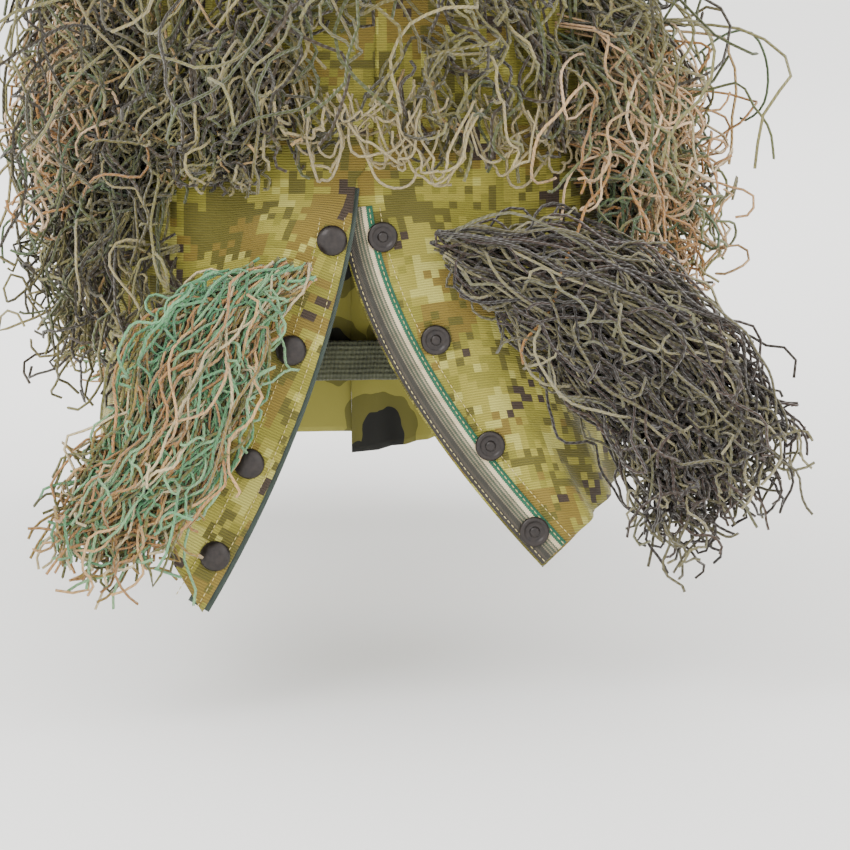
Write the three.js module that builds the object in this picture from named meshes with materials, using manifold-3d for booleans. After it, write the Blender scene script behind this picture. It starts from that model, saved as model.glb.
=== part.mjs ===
// A two-piece ghillie suit as it hangs on its wearer: trousers with snapped ankle vents, a jacket and
// a hood, all covered with tufts of yarn. Millimetres, +Z up, the wearer faces -Y and their left is +X.
// The origin is the middle of the waist, where the wearer holds the suit up.
import * as THREE from 'three';
import { mergeVertices } from 'three/addons/utils/BufferGeometryUtils.js';
import Module from 'manifold-3d';

// Heights are given above the wearer's soles.
const waistHeight = 1000;
const crotchHeight = 780;
const vent = { y: -22, height: 270, tilt: 5.5, standoff: 3 };
const cloth = 2.4;
const seam = 0.6;
const yarnGap = 10;
const yarnDepth = 22;

// Rings of a leg: centre, half width, half depth and squareness at a height.
const legRings = [
  { height: 60, x: 192, y: -12, wide: 92, deep: 141, square: 3.0 },
  { height: 270, x: 180, y: -12, wide: 88, deep: 124, square: 2.6 },
  { height: 480, x: 158, y: -6, wide: 90, deep: 108, square: 2.2 },
  { height: 640, x: 130, y: 0, wide: 98, deep: 116, square: 2.1 },
  { height: 780, x: 106, y: 4, wide: 98, deep: 128, square: 2.0 },
];
const hipRings = [
  { height: 740, wide: 204, deep: 140 },
  { height: 880, wide: 204, deep: 146 },
  { height: 1000, wide: 184, deep: 128 },
];
const jacketRings = [
  { height: 800, wide: 242, deep: 176 },
  { height: 1000, wide: 230, deep: 166 },
  { height: 1260, wide: 238, deep: 166 },
  { height: 1380, wide: 212, deep: 148 },
  { height: 1440, wide: 168, deep: 124 },
  { height: 1480, wide: 108, deep: 104 },
];
const sleevePath = [[150, 0, 1372], [238, 0, 1336], [296, -8, 1160], [332, -34, 960], [350, -66, 800]];
const sleeveRadii = [88, 86, 80, 70, 58];
const hood = { y: 8, height: 1608, wide: 124, deep: 148, tall: 170, hem: 1486 };
const face = { y: -165, height: 1600, wide: 88, deep: 120, tall: 112 };

// Vent outlines, seen from outside, y rearwards and z up from the top of the slit.
// The free edge runs from the top past the bend to the corner, and the fold from there to the shoulder.
const frontEdge = {
  top: [2, 0], bend: [-14, -110], corner: [-78, -214], fold: [-110, -158], shoulder: [-18, 0],
};
const rearEdge = {
  top: [-8, -2], bend: [-8, -85], corner: [94, -196], fold: [122, -170], shoulder: [28, -2],
};
const capAngle = 21;
const studAngle = 26.8;
const snapDistances = [32, 90, 150, 199];
const snap = {
  radius: 7.6, rise: 3.2, rivet: 2.3, hole: 2.8, socket: 6.4, socketRise: 2.6, studRise: 3.2,
};
const frontLift = 11;
const tape = { width: 16, thick: 1, gap: 0.3 };
const binding = { width: 3, beyond: 2 };
const lining = { thick: 1.2, clear: 3, overVent: 14, belowCrotch: 60 };
const hemBand = { height: 142, width: 22, thick: 1.6, clear: 4, from: -84, to: -270 };
const waistBand = { below: 15, above: 25, thick: 4, clear: 0.5 };
const legCoat = { overVent: 44, belowCrotch: 4, reach: 118 };

const wasm = await Module();
wasm.setup();

function finish(colour, roughness, metalness = 0) {
  return new THREE.MeshStandardMaterial({ color: colour, roughness, metalness });
}

const looks = {
  print: finish(0x8f8748, 0.9),
  lining: finish(0x4b4a30, 0.95),
  elastic: finish(0x3c3f33, 0.9),
  binding: finish(0x35403a, 0.85),
  facing: finish(0xa59a86, 0.85),
  snap: finish(0x2c2522, 0.45, 0.6),
  paleYarn: finish(0x9aa678, 1.0),
  darkYarn: finish(0x3f3a2c, 1.0),
  greenYarn: finish(0x5b5a3a, 1.0),
};

const suit = new THREE.Group();

function add(name, geometry, look, parent = suit) {
  const mesh = new THREE.Mesh(geometry, look);
  mesh.name = name;
  parent.add(mesh);
  return mesh;
}

function level(height) {
  return height - waistHeight;
}

// The ring of a garment at a height, eased between the rings above and below it.
function ringAt(rings, height) {
  let upper = rings.findIndex((ring) => ring.height >= height);
  if (upper < 0) upper = rings.length - 1;
  upper = Math.max(upper, 1);
  const below = rings[upper - 1];
  const above = rings[upper];
  const part = THREE.MathUtils.clamp((height - below.height) / (above.height - below.height), 0, 1);
  const ring = {};
  for (const key of Object.keys(below)) {
    ring[key] = THREE.MathUtils.lerp(below[key], above[key], part);
  }
  return ring;
}

function power(value, exponent) {
  return Math.sign(value) * Math.abs(value) ** exponent;
}

// A point on a leg's ring. Angle 0 is the outer seam, -90 the shin and 180 the inner seam.
function legPoint(height, degrees, out = 0) {
  const ring = ringAt(legRings, height);
  const angle = THREE.MathUtils.degToRad(degrees);
  const x = ring.x + (ring.wide + out) * power(Math.cos(angle), 2 / ring.square);
  const y = ring.y + (ring.deep + out) * power(Math.sin(angle), 2 / ring.square);
  return new THREE.Vector3(x, y, level(height));
}

// The angle on a leg's ring where the ring crosses a given y on its outer side.
function legAngle(height, y) {
  const ring = ringAt(legRings, height);
  const share = THREE.MathUtils.clamp((y - ring.y) / ring.deep, -1, 1);
  return THREE.MathUtils.radToDeg(Math.asin(power(share, ring.square / 2)));
}

function ovalPoint(rings, height, degrees, out = 0) {
  const ring = ringAt(rings, height);
  const angle = THREE.MathUtils.degToRad(degrees);
  const x = (ring.wide + out) * Math.cos(angle);
  const y = (ring.deep + out) * Math.sin(angle);
  return new THREE.Vector3(x, y, level(height));
}

// The outer seam's angle, which runs down the flap's fold below the top of the vent.
function seamAngle(height, fold) {
  if (height >= vent.height) return 0;
  const part = (vent.height - height) / -fold[1];
  return legAngle(height, vent.y + fold[0] * part);
}

// A trouser panel's outer face: v runs from the inner to the outer seam, half is front (-1) or back (1).
function trouserPoint(height, v, half, fold) {
  const angle = THREE.MathUtils.lerp(180, half * seamAngle(height, fold), v);
  const leg = legPoint(height, half * angle);
  const hip = ovalPoint(hipRings, height, half * THREE.MathUtils.lerp(90, 0, v));
  const share = THREE.MathUtils.smoothstep(height, crotchHeight - 30, crotchHeight + 90);
  leg.lerp(hip, share);
  leg.x += 2 * seam * (1 - v);
  leg.y += half * seam;
  return leg;
}

function signedVolume(positions, faces) {
  let total = 0;
  for (let i = 0; i < faces.length; i += 3) {
    const [a, b, c] = [0, 1, 2].map((k) => positions[faces[i + k]]);
    total += a.dot(new THREE.Vector3().crossVectors(b, c));
  }
  return total;
}

// A geometry from points and triangles, turned so that its faces point out.
function solid(points, faces) {
  const turned = signedVolume(points, faces) < 0 ? [...faces].reverse() : faces;
  const geometry = new THREE.BufferGeometry();
  const numbers = points.flatMap((point) => point.toArray());
  geometry.setAttribute('position', new THREE.Float32BufferAttribute(numbers, 3));
  geometry.setIndex(turned);
  geometry.computeVertexNormals();
  return geometry;
}

// A closed thin sheet. surface(u, v) is its outer face, and its inner face lies one thickness behind it.
// A sheet that is joined round comes back to where it started along v.
function sheet(surface, columns, rows, thickness = cloth, joined = false, side = 1) {
  const outer = [];
  const inner = [];
  const wide = joined ? columns : columns + 1;
  const small = 1e-3;
  for (let row = 0; row <= rows; row += 1) {
    for (let column = 0; column < wide; column += 1) {
      const u = row / rows;
      const v = column / columns;
      const point = surface(u, v);
      const along = surface(Math.min(u + small, 1), v).sub(surface(Math.max(u - small, 0), v));
      const vAfter = joined ? v + small : Math.min(v + small, 1);
      const vBefore = joined ? v - small : Math.max(v - small, 0);
      const across = surface(u, vAfter).sub(surface(u, vBefore));
      const normal = across.cross(along).normalize();
      outer.push(point);
      inner.push(point.clone().addScaledVector(normal, -thickness * side));
    }
  }
  const count = outer.length;
  const faces = [];
  const quad = (a, b, c, d) => faces.push(a, b, c, a, c, d);
  const at = (row, column) => row * wide + (column % wide);
  for (let row = 0; row < rows; row += 1) {
    for (let column = 0; column < columns; column += 1) {
      const [a, b] = [at(row, column), at(row, column + 1)];
      const [c, d] = [at(row + 1, column + 1), at(row + 1, column)];
      quad(a, b, c, d);
      quad(count + d, count + c, count + b, count + a);
    }
  }
  for (let column = 0; column < columns; column += 1) {
    const [a, b] = [at(0, column), at(0, column + 1)];
    const [c, d] = [at(rows, column), at(rows, column + 1)];
    quad(count + a, count + b, b, a);
    quad(c, d, count + d, count + c);
  }
  if (!joined) {
    for (let row = 0; row < rows; row += 1) {
      const [a, b] = [at(row, 0), at(row + 1, 0)];
      const [c, d] = [at(row, columns), at(row + 1, columns)];
      quad(a, b, count + b, count + a);
      quad(count + c, count + d, d, c);
    }
  }
  return solid([...outer, ...inner], faces);
}

// A closed solid through a row of rings, with flat ends.
function loft(rings) {
  const points = rings.flat();
  const size = rings[0].length;
  const faces = [];
  for (let ring = 0; ring < rings.length - 1; ring += 1) {
    for (let i = 0; i < size; i += 1) {
      const [a, b] = [ring * size + i, ring * size + ((i + 1) % size)];
      faces.push(a, b, b + size, a, b + size, a + size);
    }
  }
  const last = (rings.length - 1) * size;
  for (let i = 1; i < size - 1; i += 1) {
    faces.push(0, i + 1, i);
    faces.push(last, last + i, last + i + 1);
  }
  return solid(points, faces);
}

function toManifold(geometry) {
  const bare = geometry.clone();
  bare.deleteAttribute('normal');
  bare.deleteAttribute('uv');
  const merged = mergeVertices(bare, 1e-4);
  const vertProperties = new Float32Array(merged.attributes.position.array);
  const triVerts = new Uint32Array(merged.index.array);
  return new wasm.Manifold(new wasm.Mesh({ numProp: 3, vertProperties, triVerts }));
}

function toGeometry(manifold) {
  const mesh = manifold.getMesh();
  const geometry = new THREE.BufferGeometry();
  geometry.setAttribute('position', new THREE.Float32BufferAttribute(mesh.vertProperties, 3));
  geometry.setIndex([...mesh.triVerts]);
  geometry.computeVertexNormals();
  return geometry;
}

// Trousers ----------------------------------------------------------------------------------------

// The back panel's hem arches up over the calf.
const backHemRise = 30;

function hemHeight(half, v) {
  const rise = half > 0 ? backHemRise : 0;
  const fold = half > 0 ? rearEdge.fold : frontEdge.fold;
  return vent.height + fold[1] + rise * Math.sin(Math.PI * v) + seam;
}

function legPanel(side, half) {
  const fold = half > 0 ? rearEdge.fold : frontEdge.fold;
  const top = waistHeight - 16;
  const [rows, ventRows] = [13, 4];
  return sheet((u, v) => {
    const row = u * rows;
    const below = THREE.MathUtils.lerp(hemHeight(half, v), vent.height, row / ventRows);
    const above = THREE.MathUtils.lerp(vent.height, top, (row - ventRows) / (rows - ventRows));
    const point = trouserPoint(row < ventRows ? below : above, v, half, fold);
    point.x *= side;
    return point;
  }, 8, rows, cloth, false, side * half);
}

// The lining stops short of the vent, so that the flaps clear it.
function legLining(side) {
  const bottom = vent.height + lining.overVent;
  const top = crotchHeight - lining.belowCrotch;
  return sheet((u, v) => {
    const point = legPoint(THREE.MathUtils.lerp(bottom, top, u), 360 * v, -cloth - lining.clear);
    point.x *= side;
    return point;
  }, 16, 6, lining.thick, true, -side);
}

// A band sewn inside the hem, round the shin, the inner side and the calf.
function hemElastic(side) {
  return sheet((u, v) => {
    const height = hemBand.height + hemBand.width * u;
    const angle = THREE.MathUtils.lerp(hemBand.from, hemBand.to, v);
    const point = legPoint(height, angle, -cloth - hemBand.clear);
    point.x *= side;
    return point;
  }, 14, 1, hemBand.thick, false, side);
}

function waistband() {
  return sheet((u, v) => {
    const height = waistHeight + THREE.MathUtils.lerp(-waistBand.below, waistBand.above, u);
    return ovalPoint(hipRings, height, 360 * v, waistBand.clear);
  }, 28, 1, waistBand.thick, true, -1);
}

// A coat of hanging yarn round the outside of a leg, from the hem of the jacket to above the vent.
function legYarn(side) {
  const bottom = vent.height + legCoat.overVent;
  const top = crotchHeight - legCoat.belowCrotch;
  return sheet((u, v) => {
    const height = THREE.MathUtils.lerp(bottom, top, u);
    const angle = THREE.MathUtils.lerp(-legCoat.reach, legCoat.reach, v);
    const point = legPoint(height, angle, yarnGap + yarnDepth);
    point.x *= side;
    return point;
  }, 14, 6, yarnDepth, false, side);
}

// Vents -------------------------------------------------------------------------------------------

// The frame that a leg's two flaps lie in: its x is rearwards on the left leg, its y up and its z out.
function ventFrame(side) {
  const tilt = THREE.MathUtils.degToRad(vent.tilt);
  const out = new THREE.Vector3(side * Math.cos(tilt), 0, Math.sin(tilt));
  const up = new THREE.Vector3(-side * Math.sin(tilt), 0, Math.cos(tilt));
  const along = new THREE.Vector3().crossVectors(up, out);
  const frame = new THREE.Group();
  frame.setRotationFromMatrix(new THREE.Matrix4().makeBasis(along, up, out));
  const ring = ringAt(legRings, vent.height);
  frame.position.set(side * (ring.x + ring.wide + vent.standoff), vent.y, level(vent.height));
  suit.add(frame);
  return frame;
}

function onRay(degrees, distance, side) {
  const angle = THREE.MathUtils.degToRad(degrees);
  return [side * Math.sin(angle) * distance, -Math.cos(angle) * distance];
}

function flapShape(edge, side, holes) {
  const shape = new THREE.Shape();
  shape.moveTo(side * edge.top[0], edge.top[1]);
  shape.quadraticCurveTo(side * edge.bend[0], edge.bend[1], side * edge.corner[0], edge.corner[1]);
  shape.lineTo(side * edge.fold[0], edge.fold[1]);
  shape.lineTo(side * edge.shoulder[0], edge.shoulder[1]);
  for (const [x, y] of holes) {
    const hole = new THREE.Path();
    hole.absarc(x, y, snap.hole, 0, 2 * Math.PI, false);
    shape.holes.push(hole);
  }
  return shape;
}

function plate(shape, thickness, segments = 6) {
  const settings = { depth: thickness, bevelEnabled: false, curveSegments: segments };
  return new THREE.ExtrudeGeometry(shape, settings);
}

// A tape of a set width along a flap's free edge. Inset is how far its outer edge lies inside the flap's.
function edgeTape(edge, side, inset, width) {
  const curve = new THREE.QuadraticBezierCurve(
    new THREE.Vector2(side * edge.top[0], edge.top[1]),
    new THREE.Vector2(side * edge.bend[0], edge.bend[1]),
    new THREE.Vector2(side * edge.corner[0], edge.corner[1]),
  );
  const inwards = Math.sign(edge.fold[0]) * side;
  const run = [0.07, 0.25, 0.4, 0.55, 0.7, 0.85, 0.98];
  const border = (shift) => run.map((t) => {
    const tangent = curve.getTangent(t);
    const normal = new THREE.Vector2(-tangent.y, tangent.x);
    if (normal.x * inwards < 0) normal.negate();
    return curve.getPoint(t).addScaledVector(normal, shift);
  });
  return new THREE.Shape([...border(inset), ...border(inset + width).reverse()]);
}

// A tape cut away round the studs that stand in its path.
function notched(geometry, studs) {
  const discs = studs.map(([x, y]) => {
    const disc = new THREE.CylinderGeometry(snap.radius + 0.5, snap.radius + 0.5, 20, 14);
    disc.rotateX(Math.PI / 2);
    disc.translate(x, y, 0);
    return toManifold(disc);
  });
  return toGeometry(discs.reduce((rest, disc) => rest.subtract(disc), toManifold(geometry)));
}

// A domed cap on its hollow rivet, whose shank passes through the cloth into the socket.
function snapCap() {
  const { radius, rise, rivet } = snap;
  const gap = tape.gap;
  const profile = [[0, rise + gap], [radius * 0.55, rise * 0.86 + gap], [radius * 0.9, rise * 0.5 + gap]];
  profile.push([radius, gap + 0.5], [radius * 0.94, gap], [rivet, gap]);
  profile.push([rivet, -cloth - 1.6], [0, -cloth - 1.6]);
  return lathe(profile);
}

function snapSocket() {
  const { socket, socketRise, rivet } = snap;
  const bore = rivet + 0.4;
  const profile = [[bore, 0], [socket, 0], [socket, 0.9], [socket * 0.72, 1.2]];
  profile.push([socket * 0.66, socketRise], [bore + 0.6, socketRise], [bore, socketRise - 0.5]);
  return lathe(profile, true);
}

// A stud's rolled rim and centre post, with the eyelet shank that holds it through the cloth.
function snapStud() {
  const { radius, rivet, studRise } = snap;
  const gap = tape.gap;
  const profile = [[0, studRise + gap], [2.5, studRise + gap], [2.9, studRise * 0.7 + gap]];
  profile.push([2.5, gap + 1]);
  profile.push([radius * 0.62, gap + 0.8], [radius * 0.8, gap + 1.6], [radius * 0.95, gap + 1.3]);
  profile.push([radius, gap + 0.6], [radius * 0.9, gap], [rivet, gap]);
  profile.push([rivet, -cloth - 0.8], [0, -cloth - 0.8]);
  return lathe(profile);
}

// A turned piece standing along Z.
function lathe(profile, ring = false) {
  const points = profile.map(([r, z]) => new THREE.Vector2(r, z));
  if (ring) points.push(points[0].clone());
  const geometry = new THREE.LatheGeometry(points, 12);
  geometry.rotateX(Math.PI / 2);
  const flat = toManifold(geometry);
  return flat.volume() > 0 ? toGeometry(flat) : solidFlipped(geometry);
}

function solidFlipped(geometry) {
  const turned = geometry.clone();
  turned.setIndex([...geometry.index.array].reverse());
  return toGeometry(toManifold(turned));
}

// A bundle of yarn hanging outside a flap. Each station of its spine is [y, z, half width, half depth].
function yarnBundle(stations, side, lift) {
  const sides = 10;
  const rings = stations.map(([y, z, wide, deep], index) => {
    const before = stations[Math.max(index - 1, 0)];
    const after = stations[Math.min(index + 1, stations.length - 1)];
    const along = new THREE.Vector2(after[0] - before[0], after[1] - before[1]).normalize();
    const ring = [];
    for (let i = 0; i < sides; i += 1) {
      const angle = (2 * Math.PI * i) / sides;
      const across = wide * Math.cos(angle);
      const x = y - along.y * across;
      const up = z + along.x * across;
      ring.push(new THREE.Vector3(side * x, up, lift + deep * (1 + Math.sin(angle))));
    }
    return ring;
  });
  return loft(rings);
}

const frontBundle = [
  [-14, -26, 12, 9], [-46, -66, 24, 15], [-78, -110, 34, 19], [-106, -156, 42, 20], [-120, -196, 36, 14],
];
const rearBundle = [
  [40, -22, 12, 9], [84, -42, 26, 16], [132, -82, 40, 22], [172, -132, 46, 24], [190, -182, 40, 16],
];

function addVent(side, label) {
  const frame = ventFrame(side);
  const caps = snapDistances.map((distance) => onRay(-capAngle, distance, side));
  const studs = snapDistances.map((distance) => onRay(studAngle, distance, side));

  const frontFlap = plate(flapShape(frontEdge, side, caps), cloth);
  add(`${label}_front_flap`, frontFlap, looks.print, frame).position.z = frontLift;
  const rearFlap = plate(flapShape(rearEdge, side, studs), cloth);
  add(`${label}_rear_flap`, rearFlap, looks.print, frame);

  const edging = plate(edgeTape(frontEdge, side, -binding.beyond, binding.width), tape.thick, 1);
  const bound = add(`${label}_front_flap_binding`, edging, looks.binding, frame);
  bound.position.z = frontLift - tape.thick - tape.gap;
  const facing = notched(plate(edgeTape(rearEdge, side, 0.5, tape.width), tape.thick, 1), studs);
  const faced = add(`${label}_rear_flap_facing`, facing, looks.facing, frame);
  faced.position.z = cloth + tape.gap;

  snapDistances.forEach((distance, index) => {
    const [capX, capY] = caps[index];
    const [studX, studY] = studs[index];
    const number = index + 1;
    const cap = add(`${label}_snap_cap_${number}`, snapCap(), looks.snap, frame);
    cap.position.set(capX, capY, frontLift + cloth);
    const socket = add(`${label}_snap_socket_${number}`, snapSocket(), looks.snap, frame);
    socket.rotation.x = Math.PI;
    socket.position.set(capX, capY, frontLift - tape.gap);
    const stud = add(`${label}_snap_stud_${number}`, snapStud(), looks.snap, frame);
    stud.position.set(studX, studY, cloth);
  });

  const clear = snap.rise + cloth + 2;
  const frontYarn = yarnBundle(frontBundle, side, frontLift + clear);
  add(`${label}_front_flap_yarn`, frontYarn, looks.paleYarn, frame);
  const rearYarn = yarnBundle(rearBundle, side, clear);
  add(`${label}_rear_flap_yarn`, rearYarn, looks.darkYarn, frame);
}

for (const [side, label] of [[1, 'left'], [-1, 'right']]) {
  add(`${label}_front_panel`, legPanel(side, -1), looks.print);
  add(`${label}_back_panel`, legPanel(side, 1), looks.print);
  add(`${label}_leg_lining`, legLining(side), looks.lining);
  add(`${label}_hem_elastic`, hemElastic(side), looks.elastic);
  add(`${label}_leg_yarn`, legYarn(side), looks.greenYarn);
  addVent(side, label);
}
add('waistband', waistband(), looks.elastic);

// Jacket ------------------------------------------------------------------------------------------

const jacketTop = 1478;
const jacketHem = 802;

function sleeveRings(side, out, from = 0, to = 1, steps = 7, sides = 12) {
  const middles = sleevePath.map(([x, y, height]) => new THREE.Vector3(x, y, level(height)));
  const path = new THREE.CatmullRomCurve3(middles);
  const radius = new THREE.CatmullRomCurve3(sleeveRadii.map((r, i) => new THREE.Vector3(i, r, 0)));
  const rings = [];
  for (let step = 0; step <= steps; step += 1) {
    const t = THREE.MathUtils.lerp(from, to, step / steps);
    const centre = path.getPoint(THREE.MathUtils.clamp(t, 0, 1));
    const tangent = path.getTangent(THREE.MathUtils.clamp(t, 0, 1));
    if (t > 1) centre.addScaledVector(tangent, (t - 1) * 700);
    if (t < 0) centre.addScaledVector(tangent, t * 700);
    const r = radius.getPoint(THREE.MathUtils.clamp(t, 0, 1)).y + out;
    const deep = new THREE.Vector3(0, 1, 0).addScaledVector(tangent, -tangent.y).normalize();
    const wide = new THREE.Vector3().crossVectors(tangent, deep);
    const ring = [];
    for (let i = 0; i < sides; i += 1) {
      const angle = (2 * Math.PI * i) / sides;
      const point = centre.clone().addScaledVector(deep, r * Math.cos(angle));
      point.addScaledVector(wide, r * Math.sin(angle));
      point.x *= side;
      ring.push(point);
    }
    rings.push(ring);
  }
  return rings;
}

function sleeveVolume(side, out, from, to) {
  return toManifold(loft(sleeveRings(side, out, from, to)));
}

function jacketVolume(out, from, to) {
  const rings = [];
  for (let step = 0; step <= 8; step += 1) {
    const height = THREE.MathUtils.lerp(from, to, step / 8);
    const ring = [];
    for (let i = 0; i < 24; i += 1) {
      ring.push(ovalPoint(jacketRings, height, (360 * i) / 24, out));
    }
    rings.push(ring);
  }
  return toManifold(loft(rings));
}

const armBores = [1, -1].map((side) => sleeveVolume(side, -cloth - 1, -0.05, 0.6));

function jacketPanel(from, to, columns) {
  const panel = sheet((u, v) => {
    const height = THREE.MathUtils.lerp(jacketHem, jacketTop, u);
    return ovalPoint(jacketRings, height, THREE.MathUtils.lerp(from, to, v));
  }, columns, 9, cloth, false, -1);
  return toGeometry(armBores.reduce((rest, bore) => rest.subtract(bore), toManifold(panel)));
}

const seamTurn = 0.3;
add('jacket_left_front', jacketPanel(-90 + seamTurn, -seamTurn, 6), looks.print);
add('jacket_right_front', jacketPanel(-180 + seamTurn, -90 - seamTurn, 6), looks.print);
add('jacket_back', jacketPanel(seamTurn, 180 - seamTurn, 12), looks.print);

function placket() {
  return sheet((u, v) => {
    const height = THREE.MathUtils.lerp(jacketHem + 10, 1425, u);
    return ovalPoint(jacketRings, height, THREE.MathUtils.lerp(-97.5, -82.5, v), 5.2);
  }, 4, 9, 1.8, false, -1);
}
add('jacket_placket', placket(), looks.print);

const jacketSolid = jacketVolume(8, jacketHem - 40, jacketTop + 20);

for (const [side, label] of [[1, 'left'], [-1, 'right']]) {
  const tube = sleeveVolume(side, 0, 0, 0.95).subtract(sleeveVolume(side, -cloth, -0.05, 1.05));
  add(`${label}_sleeve`, toGeometry(tube.subtract(jacketSolid)), looks.print);
  const cuff = sleeveVolume(side, -1, 0.953, 1).subtract(sleeveVolume(side, -5, 0.93, 1.05));
  add(`${label}_cuff`, toGeometry(cuff), looks.elastic);
}

// The jacket's coat of yarn covers the body and both sleeves in one piece.
function jacketYarn() {
  let coat = jacketVolume(yarnGap + yarnDepth, jacketHem - 6, 1452);
  for (const side of [1, -1]) {
    coat = coat.add(sleeveVolume(side, yarnGap + yarnDepth, 0, 0.93));
  }
  coat = coat.subtract(jacketVolume(yarnGap + 3, jacketHem - 60, jacketTop + 20));
  for (const side of [1, -1]) {
    coat = coat.subtract(sleeveVolume(side, yarnGap, -0.05, 1.05));
  }
  return toGeometry(coat);
}
add('jacket_yarn', jacketYarn(), looks.greenYarn);

// Hood --------------------------------------------------------------------------------------------

function ellipsoid(centreY, height, wide, deep, tall) {
  const ball = new THREE.SphereGeometry(1, 18, 12);
  ball.rotateX(Math.PI / 2);
  ball.scale(wide, deep, tall);
  ball.translate(0, centreY, level(height));
  return toManifold(ball);
}

function hoodVolume(out) {
  return ellipsoid(hood.y, hood.height, hood.wide + out, hood.deep + out, hood.tall + out);
}

function hoodShell(outer, inner, hem) {
  const below = new THREE.BoxGeometry(600, 600, 400);
  below.translate(0, 0, level(hem) - 200);
  const opening = ellipsoid(face.y, face.height, face.wide, face.deep, face.tall);
  const shell = hoodVolume(outer).subtract(hoodVolume(inner));
  return toGeometry(shell.subtract(toManifold(below)).subtract(opening));
}
add('hood', hoodShell(0, -cloth, hood.hem), looks.print);
add('hood_yarn', hoodShell(yarnGap + yarnDepth, yarnGap, hood.hem + 2), looks.greenYarn);

export default suit;
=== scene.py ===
import math

import bmesh
import bpy
import numpy as np
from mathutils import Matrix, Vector, noise


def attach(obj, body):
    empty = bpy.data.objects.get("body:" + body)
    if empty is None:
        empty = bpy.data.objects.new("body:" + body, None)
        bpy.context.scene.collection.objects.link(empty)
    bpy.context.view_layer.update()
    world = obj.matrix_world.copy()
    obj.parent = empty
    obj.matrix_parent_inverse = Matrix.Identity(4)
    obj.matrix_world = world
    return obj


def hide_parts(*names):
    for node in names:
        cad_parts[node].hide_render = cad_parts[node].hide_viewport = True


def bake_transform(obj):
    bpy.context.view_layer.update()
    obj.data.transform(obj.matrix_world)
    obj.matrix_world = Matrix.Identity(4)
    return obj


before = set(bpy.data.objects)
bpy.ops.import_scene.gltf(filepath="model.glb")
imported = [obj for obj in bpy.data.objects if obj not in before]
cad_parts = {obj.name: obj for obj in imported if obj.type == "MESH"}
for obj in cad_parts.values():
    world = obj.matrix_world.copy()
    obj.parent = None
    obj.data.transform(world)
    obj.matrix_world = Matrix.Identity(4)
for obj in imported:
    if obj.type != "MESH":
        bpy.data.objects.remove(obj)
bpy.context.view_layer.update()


# Viewpoint and studio ---------------------------------------------------------------------------
# The camera looks at the wearer's left ankle from the side, a little from the front and above.
# The floor is a pale sweep, and large soft lamps stand in front, behind and overhead.

WAIST = 1.0          # the origin's height above the soles of the wearer's boots
SENSOR, FRAMED = 36, 0.425          # the camera's sensor in millimetres, the framed width in metres


def put_in_scene(name, data):
    """A new object for a camera, lamp or mesh, linked to the scene."""
    made = bpy.data.objects.new(name, data)
    bpy.context.scene.collection.objects.link(made)
    return made


azimuth, elevation, distance = math.radians(85), math.radians(10), 1.6
target = Vector((0.288, 0.0125, -0.8515))
away = Vector((math.sin(azimuth) * math.cos(elevation),
               -math.cos(azimuth) * math.cos(elevation),
               math.sin(elevation)))
camera_data = bpy.data.cameras.new("camera")
camera_data.lens = SENSOR * distance / FRAMED
camera = put_in_scene("camera", camera_data)
camera.location = target + away * distance
camera.rotation_euler = (-away).to_track_quat("-Z", "Y").to_euler()
bpy.context.scene.camera = camera


def lamp(name, place, aim, size, watts):
    data = bpy.data.lights.new(name, "AREA")
    data.size = size
    data.energy = watts
    made = put_in_scene(name, data)
    made.location = place
    made.rotation_euler = (Vector(aim) - Vector(place)).to_track_quat("-Z", "Y").to_euler()


lamp("key", (2.6, -2.2, 2.2), (0.2, 0, -0.5), 2.0, 84)
lamp("fill", (2.4, 2.6, 0.9), (0.2, 0, -0.6), 2.4, 18)
lamp("top", (-0.4, 0.3, 3.4), (0, 0, -0.4), 2.6, 40)
lamp("back", (-2.8, -0.8, 1.6), (0, 0, -0.3), 2.4, 26)

sky = bpy.data.worlds.new("studio")
bpy.context.scene.world = sky
sky.use_nodes = True
background = sky.node_tree.nodes["Background"].inputs
background["Color"].default_value = (1.0, 0.99, 0.97, 1)
background["Strength"].default_value = 2.3

floor_mesh = bpy.data.meshes.new("floor")
floor_mesh.from_pydata([(-9, -9, -WAIST), (9, -9, -WAIST), (9, 9, -WAIST), (-9, 9, -WAIST)],
                       [], [(0, 1, 2, 3)])
floor = put_in_scene("floor", floor_mesh)
floor_paint = bpy.data.materials.new("floor_paint")
floor_paint.use_nodes = True
paint = floor_paint.node_tree.nodes["Principled BSDF"].inputs
paint["Base Color"].default_value = (0.96, 0.96, 0.95, 1)
paint["Roughness"].default_value = 0.8
floor_mesh.materials.append(floor_paint)


# Printed cloth ----------------------------------------------------------------------------------
# A thin ribbed polyester cotton, printed on its face with small square blocks of yellow green,
# olive, gold brown and purple brown. Its UV map is the flat cut in metres, with V along the warp.

def srgb(red, green, blue):
    channels = [value / 255 for value in (red, green, blue)]
    return tuple(c / 12.92 if c <= 0.04045 else ((c + 0.055) / 1.055) ** 2.4
                 for c in channels) + (1,)


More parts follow.
